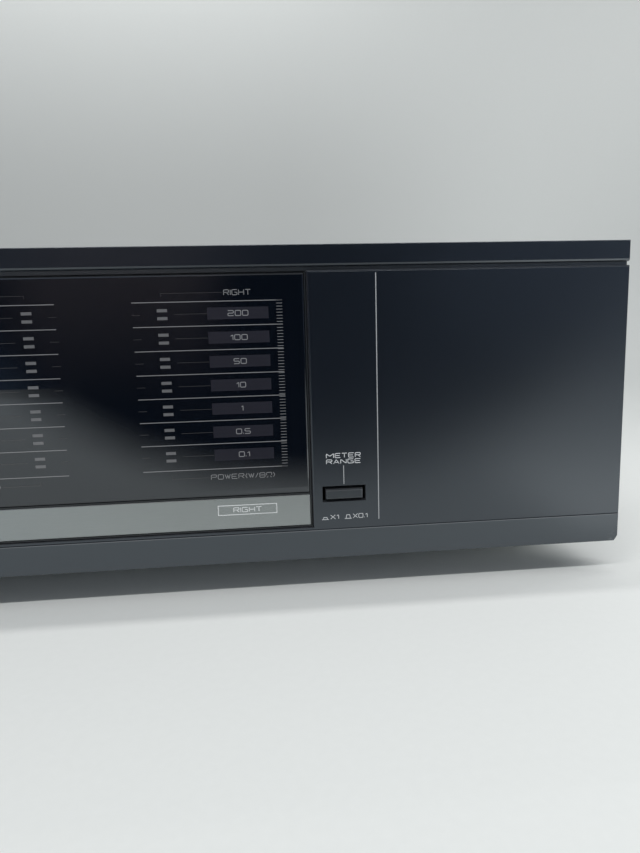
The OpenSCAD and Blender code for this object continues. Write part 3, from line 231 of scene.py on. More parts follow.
def satin_panel():
    """Near-black coat with scuffed corners, a dull seam over a painted highlight, and dust in the groove."""
    material, shader, place = new_finish("satin_panel")
    cloud = noise(place, 60 * mm)
    grain = noise(place, 0.15 * mm)
    width, depth, height = parts(place)
    end = panel_high.x
    near_end = climb(width * width, (end - SCUFF) ** 2, end**2)
    near_foot = 1 - climb(height, panel_low.z, panel_low.z + SCUFF)
    knocks = climb(noise(stretch(place, 0.4, 1.0, 1.0), 0.9 * mm, 3.0), 0.5, 0.6)
    # Painted highlight: a lighter line on the edge under the seam, where light catches its rounding.
    painted_edge_highlight = climb(height, SEAM - 0.5 * mm, SEAM - 0.3 * mm) * (height < SEAM - 0.1 * mm)
    # Real wear on the scuffed lower corners, plus the painted highlight under the seam.
    wear_and_highlight = near_end * near_foot * knocks + painted_edge_highlight
    dull = between(height, SEAM - 0.1 * mm, SEAM + 0.35 * mm)
    dull = dull + between(height, GROOVE_LOW - 0.6 * mm, GROOVE_LOW)
    dust = between(height, GROOVE_LOW, GROOVE_TOP)
    openings = between(height, SEAM, GROOVE_LOW) * between(width, SCUFF - end, end - SCUFF)
    bare = openings * (depth > panel_low.y + COAT_REACH)
    coat = blend(cloud, (0.003, 0.0047, 0.0095), (0.0045, 0.007, 0.013))
    coat = blend(dust, coat, (0.032, 0.034, 0.038))
    # Painted reflection: the coat below the seam is made a little lighter, for the bright floor that it
    # mirrors.
    coat = blend(height < SEAM, coat, (0.0165, 0.0205, 0.026))
    coat = blend(bare, coat, (0.085, 0.09, 0.1))
    plug(shader, {
        "Base Color": blend(wear_and_highlight, coat, (0.13, 0.135, 0.14)),
        "Roughness": 0.24 + 0.05 * cloud + 0.06 * grain + 0.2 * wear_and_highlight + 0.65 * dull,
        "Normal": bump(grain, 0.004 * mm),
        "IOR": 1.6,
        "Specular IOR Level": 0.85,
        "Specular Tint": (0.86, 0.94, 1.0),
    })
    return material


def satin_button(button):
    """The same coat on a button's face, a painted highlight on its upper edge, bare plastic behind it."""
    material, shader, place = new_finish(f"satin_{button}")
    cloud = noise(place, 9 * mm)
    grain = noise(place, 0.12 * mm)
    depth, height = parts(place)[1:]
    low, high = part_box(button)
    # Painted highlight: a lighter line just under the button's top, where light catches its rounded edge.
    painted_edge_highlight = climb(height, high.z - 0.9 * mm, high.z - 0.6 * mm) * (height < high.z - 0.2 * mm)
    coat = blend(cloud, (0.007, 0.0095, 0.0125), (0.009, 0.012, 0.016))
    coat = blend(painted_edge_highlight, coat, (0.045, 0.047, 0.05))
    plug(shader, {
        "Base Color": blend(depth > low.y + COAT_REACH, coat, (0.05, 0.053, 0.058)),
        "Roughness": 0.3 + 0.06 * cloud + 0.08 * grain,
        "Normal": bump(grain, 0.004 * mm),
        "IOR": 1.6,
        "Specular IOR Level": 0.8,
        "Specular Tint": (0.88, 0.95, 1.0),
    })
    return material


finishes = {"satin_panel": satin_panel()}
finishes |= {f"satin_{button}": satin_button(button) for button in BUTTONS}
print("finishes so far:", ", ".join(finishes))

# %% [markdown]
# ## The smoked window and the silver strip
# The window is smoked acrylic over a dark box: nearly black, with a mirror gloss that its two faces
# double. Handling leaves thin smears, which only the roughness shows. The strip below it is aluminium
# brushed along its length: fine noise drawn out sideways, fifty times, gives the brush lines.

# %% Finish of the window and the strip
def smoked_window():
    """Gloss black with smears, and a painted highlight along its upper edge."""
    material, shader, place = new_finish("smoked_window")
    smear = noise(stretch(place, 1.0, 1.0, 2.5), 30 * mm, detail=5.0)
    height = parts(place)[2]
    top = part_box("display_window")[1].z
    smoke = blend(smear, (0.0012, 0.002, 0.0045), (0.002, 0.0032, 0.0062))
    plug(shader, {
        # Painted highlight: the top edge of the window is made paler, where light catches it.
        "Base Color": blend(climb(height, top - 0.8 * mm, top - 0.5 * mm), smoke, (0.032, 0.034, 0.038)),
        "Roughness": 0.02 + 0.07 * climb(smear, 0.45, 0.8),
        "Specular IOR Level": 1.0,
        "Specular Tint": (0.92, 0.97, 1.0),
    })
    return material


def brushed_strip():
    """Aluminium whose brush lines change its shade, its roughness and its normal together."""
    material, shader, place = new_finish("brushed_strip")
    brush = noise(stretch(place, 0.02, 1.0, 1.0), 0.09 * mm, detail=3.0)
    cloud = noise(place, 45 * mm)
    plug(shader, {
        "Base Color": blend(brush, (0.37, 0.40, 0.393), (0.465, 0.49, 0.484)),
        "Roughness": 0.4 + 0.12 * brush + 0.05 * cloud,
        "Normal": bump(brush, 0.006 * mm),
        "Metallic": 1.0,
    })
    return material


finishes |= {"smoked_window": smoked_window(), "brushed_strip": brushed_strip()}
print("finishes so far:", ", ".join(finishes))

# %% [markdown]
# ## Moulded plastic and rubber
# Feet, plates, caps and switches are moulded, and the mould's own surface decides the look: spark-eroded
# steel leaves a fine pebble, polished steel a gloss. Each could have its own network of nodes, but one
# function covers them all, with the colour and the roughness as its values.

# %% Finish of moulded pieces
PEBBLE, PEBBLE_RELIEF = 0.4 * mm, 0.01 * mm


def moulded(name, colour, roughness):
    """Plastic or rubber: cloudy colour, and a skin of pebbles that also changes the roughness."""
    material, shader, place = new_finish(name)
    cloud = noise(place, 12 * mm)
    skin = noise(place, PEBBLE)
    darker = tuple(0.82 * part for part in colour)
    plug(shader, {
        "Base Color": blend(cloud, darker, colour),
        "Roughness": roughness - 0.06 + 0.06 * cloud + 0.06 * skin,
        "Normal": bump(skin, PEBBLE_RELIEF),
    })
    return material


moulded_pieces = {
    "display_frame": ((0.017, 0.020, 0.023), 0.38),
    "switch_case": ((0.03, 0.03, 0.029), 0.45),
    "foot_plastic": ((0.014, 0.014, 0.015), 0.5),
    "pad_rubber": ((0.03, 0.03, 0.031), 0.85),
    "fitting_plastic": ((0.012, 0.012, 0.013), 0.4),
    "gland_rubber": ((0.016, 0.016, 0.017), 0.62),
    "cap_red": ((0.33, 0.012, 0.014), 0.28),
    "cap_black": ((0.012, 0.012, 0.013), 0.28),
    "relay_case": ((0.55, 0.57, 0.55), 0.25),
    "device_epoxy": ((0.012, 0.012, 0.013), 0.5),
    "thermal_pad": ((0.45, 0.52, 0.48), 0.7),
    "resistor_cement": ((0.66, 0.62, 0.52), 0.8),
    "wire_sleeve": ((0.24, 0.022, 0.02), 0.4),
    "bar_lens": ((0.25, 0.26, 0.27), 0.3),
}
finishes |= {name: moulded(name, *look) for name, look in moulded_pieces.items()}
print(len(moulded_pieces), "moulded finishes")

# %% [markdown]
# ## Painted sheet and plated metal
# The cover is steel with a baked texture paint, whose small round lumps hide fingerprints; the rear panel
# has a smoother paint. The chassis is zinc-plated, with the faint crystal patches that plating leaves.
# Screws, barrels and studs are small plated parts.

# %% Finish of painted and plated pieces
def texture_paint(name, colour, lump, relief, roughness):
    """Paint whose lumps are lump metres wide: a field of round cells, softened by noise."""
    material, shader, place = new_finish(name)
    cells = place.node(
        "ShaderNodeTexVoronoi", {"feature": "SMOOTH_F1"}, {"Vector": place, "Scale": 1 / lump}
    )
    cloud = noise(place, 55 * mm, detail=4.0)
    dust = climb(noise(place, 1.6 * mm, detail=6.0), 0.66, 0.78)
    darker = tuple(0.8 * part for part in colour)
    plug(shader, {
        "Base Color": blend(dust * 0.25, blend(cloud, darker, colour), (0.16, 0.16, 0.155)),
        "Roughness": roughness + 0.08 * cloud + 0.1 * dust,
        "Normal": bump(1 - cells, relief, 0.8),
    })
    return material


def plated(name, colour, roughness, patch=6 * mm, spread=0.12):
    """Bare or plated metal: patches of slightly different brightness, with hair-fine rubbing marks."""
    material, shader, place = new_finish(name)
    patches = place.node("ShaderNodeTexVoronoi", {}, {"Vector": place, "Scale": 1 / patch}, output=1)
    shade = parts(patches)[0]
    rub = noise(stretch(place, 1.0, 0.06, 1.0), 0.25 * mm, detail=3.0)
    darker = tuple((1 - 2 * spread) * part for part in colour)
    plug(shader, {
        "Base Color": blend(0.5 * shade + 0.5 * rub, darker, colour),
        "Roughness": roughness - spread / 2 + spread * rub,
        "Metallic": 1.0,
    })
    return material


finishes |= {
    "cover_paint": texture_paint("cover_paint", (0.017, 0.018, 0.020), 0.9 * mm, 0.05 * mm, 0.48),
    "rear_paint": texture_paint("rear_paint", (0.014, 0.0145, 0.016), 0.45 * mm, 0.015 * mm, 0.42),
    "zinc_sheet": plated("zinc_sheet", (0.56, 0.57, 0.54), 0.38),
    "zinc_screw": plated("zinc_screw", (0.62, 0.62, 0.58), 0.3, patch=1.5 * mm),
    "black_screw": plated("black_screw", (0.035, 0.036, 0.038), 0.35, patch=1.5 * mm),
    "nickel": plated("nickel", (0.70, 0.68, 0.64), 0.18, patch=2 * mm, spread=0.06),
    "stud_brass": plated("stud_brass", (0.62, 0.46, 0.17), 0.22, patch=2 * mm, spread=0.08),
    "clip_brass": plated("clip_brass", (0.62, 0.50, 0.24), 0.3, patch=2 * mm),
}
print("finishes so far:", len(finishes))

# %% [markdown]
# ## The power supply inside the case
# Each inner piece gets the pattern of its making: the core is a stack of sheets, the coil is wrapped in tape,
# and the cans have a pale stripe down the sleeve. Turns that repeat could be modelled one by one, but a
# remainder does it here: the place over the width of a turn, less its whole part, runs from 0 to 1 in each.

# %% Finish of the transformer and the cans
SHEET, TAPE, STRIPE_DEPTH = 0.5 * mm, 12 * mm, 1.2 * mm


def stacked_sheets():
    """Transformer steel: sheets half a millimetre thick, seen edge on, as bands along the depth."""
    material, shader, place = new_finish("stacked_sheets")
    depth = parts(place)[1]
    sheet = climb((depth / SHEET) % 1.0, 0.7, 1.0)
    plug(shader, {
        "Base Color": blend(sheet, (0.115, 0.108, 0.095), (0.03, 0.028, 0.025)),
        "Roughness": 0.42 + 0.2 * noise(place, 3 * mm),
        "Metallic": 0.6,
        "Normal": bump(1 - sheet, 0.05 * mm),
    })
    return material


def taped_coil():
    """Yellow film tape wound in turns 12 mm wide, with each edge a little raised."""
    material, shader, place = new_finish("taped_coil")
    height = parts(place)[2]
    edge = climb((height / TAPE) % 1.0, 0.0, 0.08)
    plug(shader, {
        "Base Color": blend(noise(place, 8 * mm), (0.38, 0.22, 0.04), (0.52, 0.33, 0.07)),
        "Roughness": 0.25 + 0.1 * noise(place, 2 * mm),
        "Normal": bump(edge, 0.06 * mm),
    })
    return material


def can_sleeve():
    """Dark blue shrink sleeve with a pale stripe down the front of each can."""
    material, shader, place = new_finish("can_sleeve")
    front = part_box("filter_capacitors")[0].y
    stripe = parts(place)[1] < front + STRIPE_DEPTH
    plug(shader, {
        "Base Color": blend(stripe, (0.016, 0.028, 0.07), (0.55, 0.58, 0.6)),
        "Roughness": 0.22 + 0.12 * noise(place, 5 * mm),
    })
    return material


finishes |= {make.__name__: make() for make in (stacked_sheets, taped_coil, can_sleeve)}
print("finishes so far:", len(finishes))

# %% [markdown]
# ## Boards, heat sinks, fuses and jacks
# The slots in the cover and the base let the fins and the edges of the boards be seen. The boards carry
# copper tracks under green varnish: Blender's brick pattern draws them, with its joints as the tracks. The
# fins show the lines of the die that they were pressed through. A fuse is one solid, so its caps and its
# glass are told apart by their place along it, and the two jacks by their height.

# %% Finish of the boards, the sinks, the fuses and the jacks
FUSE_CAP = 5 * mm


def circuit_board():
    """Green varnish over copper tracks: the tracks are the joints of a wall of long bricks."""
    material, shader, place = new_finish("circuit_board")
    tracks = place.node(
        "ShaderNodeTexBrick",
        {"offset": 0.35, "squash": 0.6, "squash_frequency": 3},
        {
            "Vector": place, "Scale": 1.0, "Mortar Size": 0.7 * mm, "Mortar Smooth": 0.2,
            "Brick Width": 17 * mm, "Row Height": 4.2 * mm,
        },
        output=1,
    )
    plug(shader, {
        "Base Color": blend(tracks, (0.03, 0.085, 0.03), (0.10, 0.17, 0.06)),
        "Roughness": 0.3 + 0.12 * noise(place, 2 * mm),
        "Normal": bump(tracks, 0.03 * mm),
    })
    return material


def black_anodised():
    """Extruded aluminium, dyed black: fine die lines run up the fins."""
    material, shader, place = new_finish("black_anodised")
    die = noise(stretch(place, 1.0, 1.0, 0.02), 0.3 * mm)
    plug(shader, {
        "Base Color": blend(die, (0.02, 0.021, 0.023), (0.032, 0.034, 0.037)),
        "Roughness": 0.42 + 0.14 * die,
        "Metallic": 0.4,
        "Normal": bump(die, 0.01 * mm),
    })
    return material


def fuse_glass():
    """Clear tube with a tinned cap over the last few millimetres at each end."""
    material, shader, place = new_finish("fuse_glass")
    low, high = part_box("fuses")
    depth = parts(place)[1]
    cap = (depth < low.y + FUSE_CAP) + (depth > high.y - FUSE_CAP)
    plug(shader, {
        "Base Color": blend(cap, (0.75, 0.78, 0.76), (0.6, 0.59, 0.55)),
        "Roughness": 0.06 + 0.2 * cap,
        "Metallic": cap,
        "Alpha": 0.4 + 0.6 * cap,
    })
    return material


def jack_insert():
    """Nylon round the contact of each jack: red below for the right channel, white above for the left."""
    material, shader, place = new_finish("jack_insert")
    low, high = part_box("jack_inserts")
    upper = parts(place)[2] > (low.z + high.z) / 2
    plug(shader, {
        "Base Color": blend(upper, (0.45, 0.02, 0.02), (0.7, 0.69, 0.64)),
        "Roughness": 0.3 + 0.1 * noise(place, 1 * mm),
    })
    return material


finishes |= {make.__name__: make() for make in (circuit_board, black_anodised, fuse_glass, jack_insert)}
print("finishes so far:", len(finishes))

# %% [markdown]
# ## Every piece gets its finish
# A CAD piece keeps its mesh and only changes its material. The table goes from finish to pieces, the way
# that parts are sorted into trays before they go to the paint shop. The eight terminal caps follow their
# names: plus is red and minus is black.

# %% Hand out the finishes
trays = {
    "satin_panel": ["front_panel"],
    **{f"satin_{button}": [button] for button in BUTTONS},
    "smoked_window": ["display_window"],
    "brushed_strip": ["silver_strip"],
    "display_frame": ["light_box"],
    "bar_lens": ["indicator_bars"],
    "switch_case": ["power_switch", "speaker_switches", "meter_range_switch"],
    "foot_plastic": ["feet"],
    "pad_rubber": ["foot_pads"],
    "fitting_plastic": ["jack_plate", "terminal_plate"],
    "gland_rubber": ["cord_gland"],
    "cap_red": [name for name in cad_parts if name.endswith("plus_cap")],
    "cap_black": [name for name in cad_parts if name.endswith("minus_cap")],
    "relay_case": ["speaker_relays"],
    "device_epoxy": ["output_transistors", "rectifier_bridge", "driver_capacitors"],
    "thermal_pad": ["insulating_pads"],
    "resistor_cement": ["emitter_resistors"],
    "wire_sleeve": ["wire_looms"],
    "cover_paint": ["top_cover"],
    "rear_paint": ["rear_panel"],
    "zinc_sheet": ["base_chassis", "front_bracket", "transformer_strap", "capacitor_clamps"],
    "zinc_screw": [
        "panel_screws", "foot_screws", "chassis_screws", "transformer_bolts", "transistor_screws",
        "board_screws", "board_standoffs",
    ],
    "black_screw": ["cover_screws"],
    "nickel": ["jack_shells"],
    "stud_brass": ["terminal_studs"],
    "clip_brass": ["fuse_clips"],
    "stacked_sheets": ["transformer_core"],
    "taped_coil": ["transformer_coil"],
    "can_sleeve": ["filter_capacitors"],
    "circuit_board": ["meter_board", "supply_board", "left_driver_board", "right_driver_board"],
    "black_anodised": ["left_heat_sink", "right_heat_sink"],
    "fuse_glass": ["fuses"],
    "jack_insert": ["jack_inserts"],
}
for finish_name, names in trays.items():
    for name in names:
        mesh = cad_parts[name].data
        mesh.materials.clear()
        mesh.materials.append(finishes[finish_name])
bare = set(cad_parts) - {name for names in trays.values() for name in names}
print("pieces without a finish:", sorted(bare) or "none")

# %% [markdown]
# ## Ink as thin bars
# The printing on the window and the panel is a film of ink a few hundredths of a millimetre thick. It could
# be drawn by a shader, but lines this fine would need a very large texture once they are baked. So each
# stroke is a real bar: a flat rectangle carried along a path in the plane of the panel. At a bend the sides
# step out along the sum of the two edge normals over one plus their dot product, so the bar keeps its width.

# %% Carry a bar of ink along a path
INK_PROUD = 0.03 * mm
INK_SUNK = 0.02 * mm


def ink_bar(path, width, y_face):
    """Points and faces of one bar: a ring of four corners at each point of the path, with both ends shut."""
    edge = np.diff(path, axis=0)
    edge /= np.linalg.norm(edge, axis=1, keepdims=True)
    normal = np.column_stack([-edge[:, 1], edge[:, 0]])
    closed = np.allclose(path[0], path[-1])
    ends = (normal[-1:], normal[:1]) if closed else (normal[:1], normal[-1:])
    first = np.vstack([ends[0], normal])
    second = np.vstack([normal, ends[1]])
    spread = np.maximum(1 + (first * second).sum(axis=1, keepdims=True), 0.4)
    step = (first + second) / spread * width / 2
    sides = np.stack([path + step, path - step, path - step, path + step], axis=1)
    depth = np.array([-INK_PROUD, -INK_PROUD, INK_SUNK, INK_SUNK]) + y_face
    points = np.insert(sides, 1, np.broadcast_to(depth, sides.shape[:2]), axis=2)
    ring = np.arange(len(path))[:-1, None] * 4
    corner = np.arange(4)[None]
    turn = (corner + 1) % 4
    faces = np.stack([ring + corner, ring + turn, ring + 4 + turn, ring + 4 + corner], axis=2)
    last = 4 * (len(path) - 1)
    caps = np.array([[3, 2, 1, 0], [last, last + 1, last + 2, last + 3]])
    return points.reshape(-1, 3), np.vstack([faces.reshape(-1, 4), caps])


def print_ink(name, strokes, y_face, finish, body="amplifier"):
    """One piece of printing: all its bars in one mesh, on the body that carries the surface."""
    bars = [ink_bar(np.asarray(path, float) * mm, width * mm, y_face) for path, width in strokes]
    counts = np.cumsum([0] + [len(points) for points, faces in bars])
    mesh = bpy.data.meshes.new(name)
    mesh.from_pydata(
        np.vstack([points for points, faces in bars]),
        [],
        np.vstack([faces + count for (points, faces), count in zip(bars, counts)]),
    )
    mesh.materials.append(finish)
    piece = bpy.data.objects.new(name, mesh)
    bpy.context.collection.objects.link(piece)
    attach(piece, body)
    print(f"{name}: {len(strokes)} strokes, {len(mesh.polygons)} faces")
    return piece


print(f"ink stands {INK_PROUD / mm:.2f} mm proud of its surface")

# %% [markdown]
# ## Plain wide letters
# The labels are plain words and numbers in wide, square letters with soft corners. A font file would bring
# someone's typeface with it, so each letter is drawn as one or two strokes over the nine keys of a
# number pad, with a few extra points between the keys. A stroke that ends where it began is a closed ring.

# %% Draw letters on a key pad
KEYS = {
    "7": (0, 1), "8": (0.5, 1), "9": (1, 1), "4": (0, 0.5), "5": (0.5, 0.5), "6": (1, 0.5),
    "1": (0, 0), "2": (0.5, 0), "3": (1, 0),
    "a": (0.3, 0), "b": (0.7, 0), "c": (0, 0.72), "d": (0, 0.16), "e": (0.85, 0.5), "f": (0.5, 0.4),
    "g": (0.3, 0.2), "h": (0.7, 0.2), "i": (0, 0.4), "j": (1, 0.4), "k": (0.15, 0.3), "l": (0.85, 0.3),
}
LETTERS = {
    "0": "13971", "1": "c93", "2": "796413", "5": "974631", "8": "13971 46", ".": "1d",
    "A": "183 kl", "B": "13971 46", "E": "9713 4e", "F": "971 4e", "G": "971365", "H": "17 39 46",
    "I": "17", "K": "17 943", "L": "713", "M": "17f93", "N": "1739", "O": "13971", "P": "17964",
    "R": "17964 53", "S": "974631", "T": "79 82", "W": "7a8b9", "X": "19 73", "/": "19",
    "(": "943", ")": "761", "Ω": "1agi79jhb3",
}
WIDTHS = {"I": 0.0, ".": 0.0, "1": 0.4, "(": 0.3, ")": 0.3, "/": 0.5, "M": 1.4}
LETTER_GAP = 0.3
STROKE = 0.13
CORNER = 0.2


def soften(path, radius, steps=4):
    """Path whose inner corners are curves: (1-t)^2 start + 2t(1-t) corner + t^2 end, for t from 0 to 1."""
    if len(path) < 3:
        return path
    closed = np.allclose(path[0], path[-1])
    if closed:
        path = np.vstack([path[-2], path[:-1], path[0]])
    corner = path[1:-1, None]
    before = path[:-2, None] - corner
    after = path[2:, None] - corner
    reach = [np.linalg.norm(side, axis=-1, keepdims=True) for side in (before, after)]
    start = corner + before * np.minimum(radius / reach[0], 0.5)
    end = corner + after * np.minimum(radius / reach[1], 0.5)
    t = np.linspace(0, 1, steps)[None, :, None]
    curve = ((1 - t) ** 2 * start + 2 * t * (1 - t) * corner + t**2 * end).reshape(-1, 2)
    return np.vstack([curve, curve[:1]]) if closed else np.vstack([path[:1], curve, path[-1:]])


def word_width(text):
    """Width of a word in units of its letters' width."""
    return sum(WIDTHS.get(letter, 1.0) for letter in text) + LETTER_GAP * (len(text) - 1)


def letters(text, left, right, base, height, stroke=STROKE):
    """Strokes of a word that fills the space from left to right, its capitals height millimetres tall."""
    half = stroke * height / 2
    unit = (right - left - 2 * half) / word_width(text)
    strokes, x = [], left + half
    for letter in text:
        width = unit * WIDTHS.get(letter, 1.0)
        for keys in LETTERS[letter].split():
            path = np.array([KEYS[key] for key in keys]) * (width, height - 2 * half) + (x, base + half)
            strokes.append((soften(path, CORNER * height), stroke * height))
        x += width + unit * LETTER_GAP
    return strokes


def centred(text, middle, base, height, wide=None):
    """The same about a middle, in letters as wide as they are tall unless another width is given."""
    half = word_width(text) * (wide or height) / 2
    return letters(text, middle - half, middle + half, base, height)


print(len(LETTERS), "letters and signs")

# %% [markdown]
# ## The level display
# Each channel has seven rows between eight fine lines: a pair of bars, a number on a grey box, and a scale of
# ticks down the outer edge. The two channels mirror each other about the middle of the window, apart from
# their words and about half a millimetre in where the lines start and the bars stand, so one loop prints
# both. Everything is measured from the window's middle and its top edge, in millimetres, as it would be on a
# drawing for the printer.

# %% Print the level display
ROW_NUMBERS = ["200", "100", "50", "10", "1", "0.5", "0.1"]
FIRST_ROW, ROW_PITCH, LAST_LINE_DROP = 15.3, 9.58, 1.0
FINE, HAIR = 0.34, 0.22
LINE_END, TICK_START, TICK_END, TICKS_PER_ROW = 73.6, 71.3, 73.7, 8
BAR_HALF, BAR_HEIGHT, BAR_LIFT = 2.0, 1.2, 1.55
BOX_START, BOX_END, BOX_HEIGHT = 43.7, 68.1, 4.7
STUB, LEADER = (14.3, 17.6), (30.8, 43.5)
LABEL_MIDDLE, LABEL_HEIGHT, LABEL_WIDE, LABEL_DROP = 55.9, 2.3, 2.1, 8.3
WATTS_MIDDLE, WATTS_HALF, WATTS_HEIGHT, WATTS_DROP = 55.0, 13.3, 2.2, 83.1
TOP_HOOK, FOOT_HOOK = (50.0, 25.9, 7.1, 8.3), (41.0, 26.1, 82.1, 80.9)
CHANNELS = ((-1, "LEFT", 14.9, 25.6), (1, "RIGHT", 14.5, 26.1))

window_low, window_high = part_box("display_window")
window_top = window_high.z / mm
rows = window_top - FIRST_ROW - ROW_PITCH * np.arange(len(ROW_NUMBERS))
lines = window_top - FIRST_ROW - ROW_PITCH * (np.arange(len(ROW_NUMBERS) + 1) - 0.5)
lines[-1] -= LAST_LINE_DROP
ticks = np.linspace(lines[0], lines[-1], TICKS_PER_ROW * len(rows) + 1)


def across(left, right, z):
    """Path of a level stroke."""
    return [(left, z), (right, z)]


def hook(side, start, bend, drop, end_drop):
    """Path of a level stroke, drop below the window's top, that turns upright at its bend."""
    return across(side * start, side * bend, window_top - drop) + [(side * bend, window_top - end_drop)]


white, faint, boxes, numbers, lamps = [], [], [], [], []
for side, word, line_start, bar in CHANNELS:
    white += [(across(side * line_start, side * LINE_END, z), FINE) for z in lines]
    white += [(across(side * TICK_START, side * TICK_END, z), HAIR) for z in ticks]
    for z, number in zip(rows, ROW_NUMBERS):
        for lift in (-BAR_LIFT, BAR_LIFT):
            lamps.append((across(side * bar - BAR_HALF, side * bar + BAR_HALF, z + lift), BAR_HEIGHT))
        boxes.append((across(side * BOX_START, side * BOX_END, z), BOX_HEIGHT))
        numbers += centred(number, side * LABEL_MIDDLE, z - LABEL_HEIGHT / 2, LABEL_HEIGHT)
        faint += [(across(side * start, side * end, z), HAIR) for start, end in (STUB, LEADER)]
    white += centred(word, side * LABEL_MIDDLE, window_top - LABEL_DROP, LABEL_HEIGHT, LABEL_WIDE)
    watts_left, watts_right = side * WATTS_MIDDLE - WATTS_HALF, side * WATTS_MIDDLE + WATTS_HALF
    white += letters("POWER(W/8Ω)", watts_left, watts_right, window_top - WATTS_DROP, WATTS_HEIGHT)
    faint += [(hook(side, *places), HAIR) for places in (TOP_HOOK, FOOT_HOOK)]
print(f"{len(rows)} rows for each channel, {len(white)} white strokes, {len(lamps)} bars")

# %% [markdown]
# ## Inks
# White ink is a warm light grey on black, a little uneven where the screen left it thin. The number boxes are
# a dark grey film, the unlit bars a pale diffuser. All of them lie under the same gloss as the window, so the
# picture of the floor runs on over them.

# %% Mix the inks
def ink(name, colour, roughness, specular):
    """A film of ink: its cover is uneven by a tenth, in clouds a few millimetres wide."""
    material, shader, place = new_finish(name)
    cover = noise(place, 4 * mm)
    thin = tuple(0.9 * part for part in colour)
    plug(shader, {
        "Base Color": blend(cover, thin, colour),
        "Roughness": roughness + 0.03 * cover,
        "Specular IOR Level": specular,
    })
    return material


white_ink = ink("white_ink", (0.2, 0.2, 0.205), 0.2, 0.9)
faint_ink = ink("faint_ink", (0.035, 0.034, 0.036), 0.2, 0.9)
box_ink = ink("box_ink", (0.023, 0.023, 0.031), 0.04, 0.35)
number_ink = ink("number_ink", (0.26, 0.26, 0.27), 0.2, 0.9)
lamp_ink = ink("lamp_ink", (0.135, 0.135, 0.14), 0.2, 0.9)
panel_ink = ink("panel_ink", (0.66, 0.67, 0.68), 0.45, 0.5)
rule_ink = ink("rule_ink", (0.4, 0.41, 0.42), 0.45, 0.5)
strip_ink = ink("strip_ink", (0.78, 0.79, 0.78), 0.4, 0.5)
window_face = window_low.y
print_ink("display_lines", white, window_face, white_ink)
print_ink("display_hairlines", faint, window_face, faint_ink)
print_ink("display_boxes", boxes, window_face, box_ink)
print_ink("display_numbers", numbers, window_face - INK_PROUD / 2, number_ink)
print_ink("display_bars", lamps, window_face, lamp_ink)

# %% [markdown]
# ## Printing on the strip and the panel
# The strip names the two channels again, each in a fine frame. On the panel a white line divides the middle
# from the plain ends, and each button has its name, a pointer, and small drawings of the button in and out.
# Places are in millimetres again, from the panel's middle and its top edge; the pointers and the words of the
# power button follow their buttons.

# %% Print the strip
strip_low, strip_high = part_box("silver_strip")
strip_middle = (strip_low.z + strip_high.z) / 2 / mm
FRAME_START, FRAME_END, FRAME_LINE = 44.0, 68.4, 0.3
FRAME_LOW, FRAME_HIGH = strip_middle - 0.5, strip_middle + 3.5
NAME_BASE, NAME_HEIGHT, NAME_WIDE = strip_middle + 0.4, 2.2, 2.3
strip_strokes = []
for side, word in ((-1, "LEFT"), (1, "RIGHT")):
    start, end = side * FRAME_START, side * FRAME_END
    left, right = min(start, end), max(start, end)
    frame_path = across(left, right, FRAME_LOW) + across(right, left, FRAME_HIGH) + [(left, FRAME_LOW)]
    strip_strokes.append((frame_path, FRAME_LINE))
    strip_strokes += centred(word, (left + right) / 2, NAME_BASE, NAME_HEIGHT, NAME_WIDE)
print_ink("strip_print", strip_strokes, strip_low.y, strip_ink)

# %% Print the panel
panel_top = panel_high.z / mm
power_low, power_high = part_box("power_button")
power_middle = (power_low.x + power_high.x) / 2 / mm
RULE_PLACE, RULE_TOP, RULE_FOOT, RULE_LINE = 111.8, 11.5, 114.4, 0.38
POINTER_GAP, POINTER_LINE = 2.0, 0.32
POINTER_DROPS = {"meter_range_button": 90.4, "speaker_a_button": 66.8, "power_button": 88.2}
WORD_DROPS = {"METER": 87.1, "RANGE": 89.6, "SPEAKERS": 66.2, "A": 87.4, "POWER": 87.6}
SIGN_WIDTH, SIGN_LINE, SIGN_IN, SIGN_OUT = 2.95, 0.25, 0.9, 1.6
SIGN_BASE, SIGN_TEXT = panel_top - 113.5, 2.0
RANGE_LEFT, RANGE_RIGHT, RANGE_STROKE, RANGE_SIGN_STROKE = 89.7, 104.4, 0.14, 0.12
SPEAKERS_LEFT, SPEAKERS_RIGHT = -106.3, -87.9
POWER_LEFT, POWER_RIGHT = power_middle - 7.4, power_middle + 7.4
word_base = {word: panel_top - drop for word, drop in WORD_DROPS.items()}


def upright(x, top, bottom):
    """Path of an upright stroke."""
    return [(x, top), (x, bottom)]


def push_sign(left, height, word, word_left, word_right, stroke=STROKE):
    """Drawing of a push button from the side, a raised block on a base line, and the word beside it."""
    block = np.array([(0.18, 0), (0.28, 1), (0.72, 1), (0.82, 0)]) * (SIGN_WIDTH, height)
    sign = [(block + (left, SIGN_BASE), SIGN_LINE), (across(left, left + SIGN_WIDTH, SIGN_BASE), SIGN_LINE)]
    return sign + letters(word, word_left, word_right, SIGN_BASE, SIGN_TEXT, stroke)


def pointer(button, drop):
    """Upright line from a label, drop below the panel's top, to the opening of its button."""
    low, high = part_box(button)
    middle = (low.x + high.x) / 2 / mm
    return (upright(middle, panel_top - drop, high.z / mm + POINTER_GAP), POINTER_LINE)


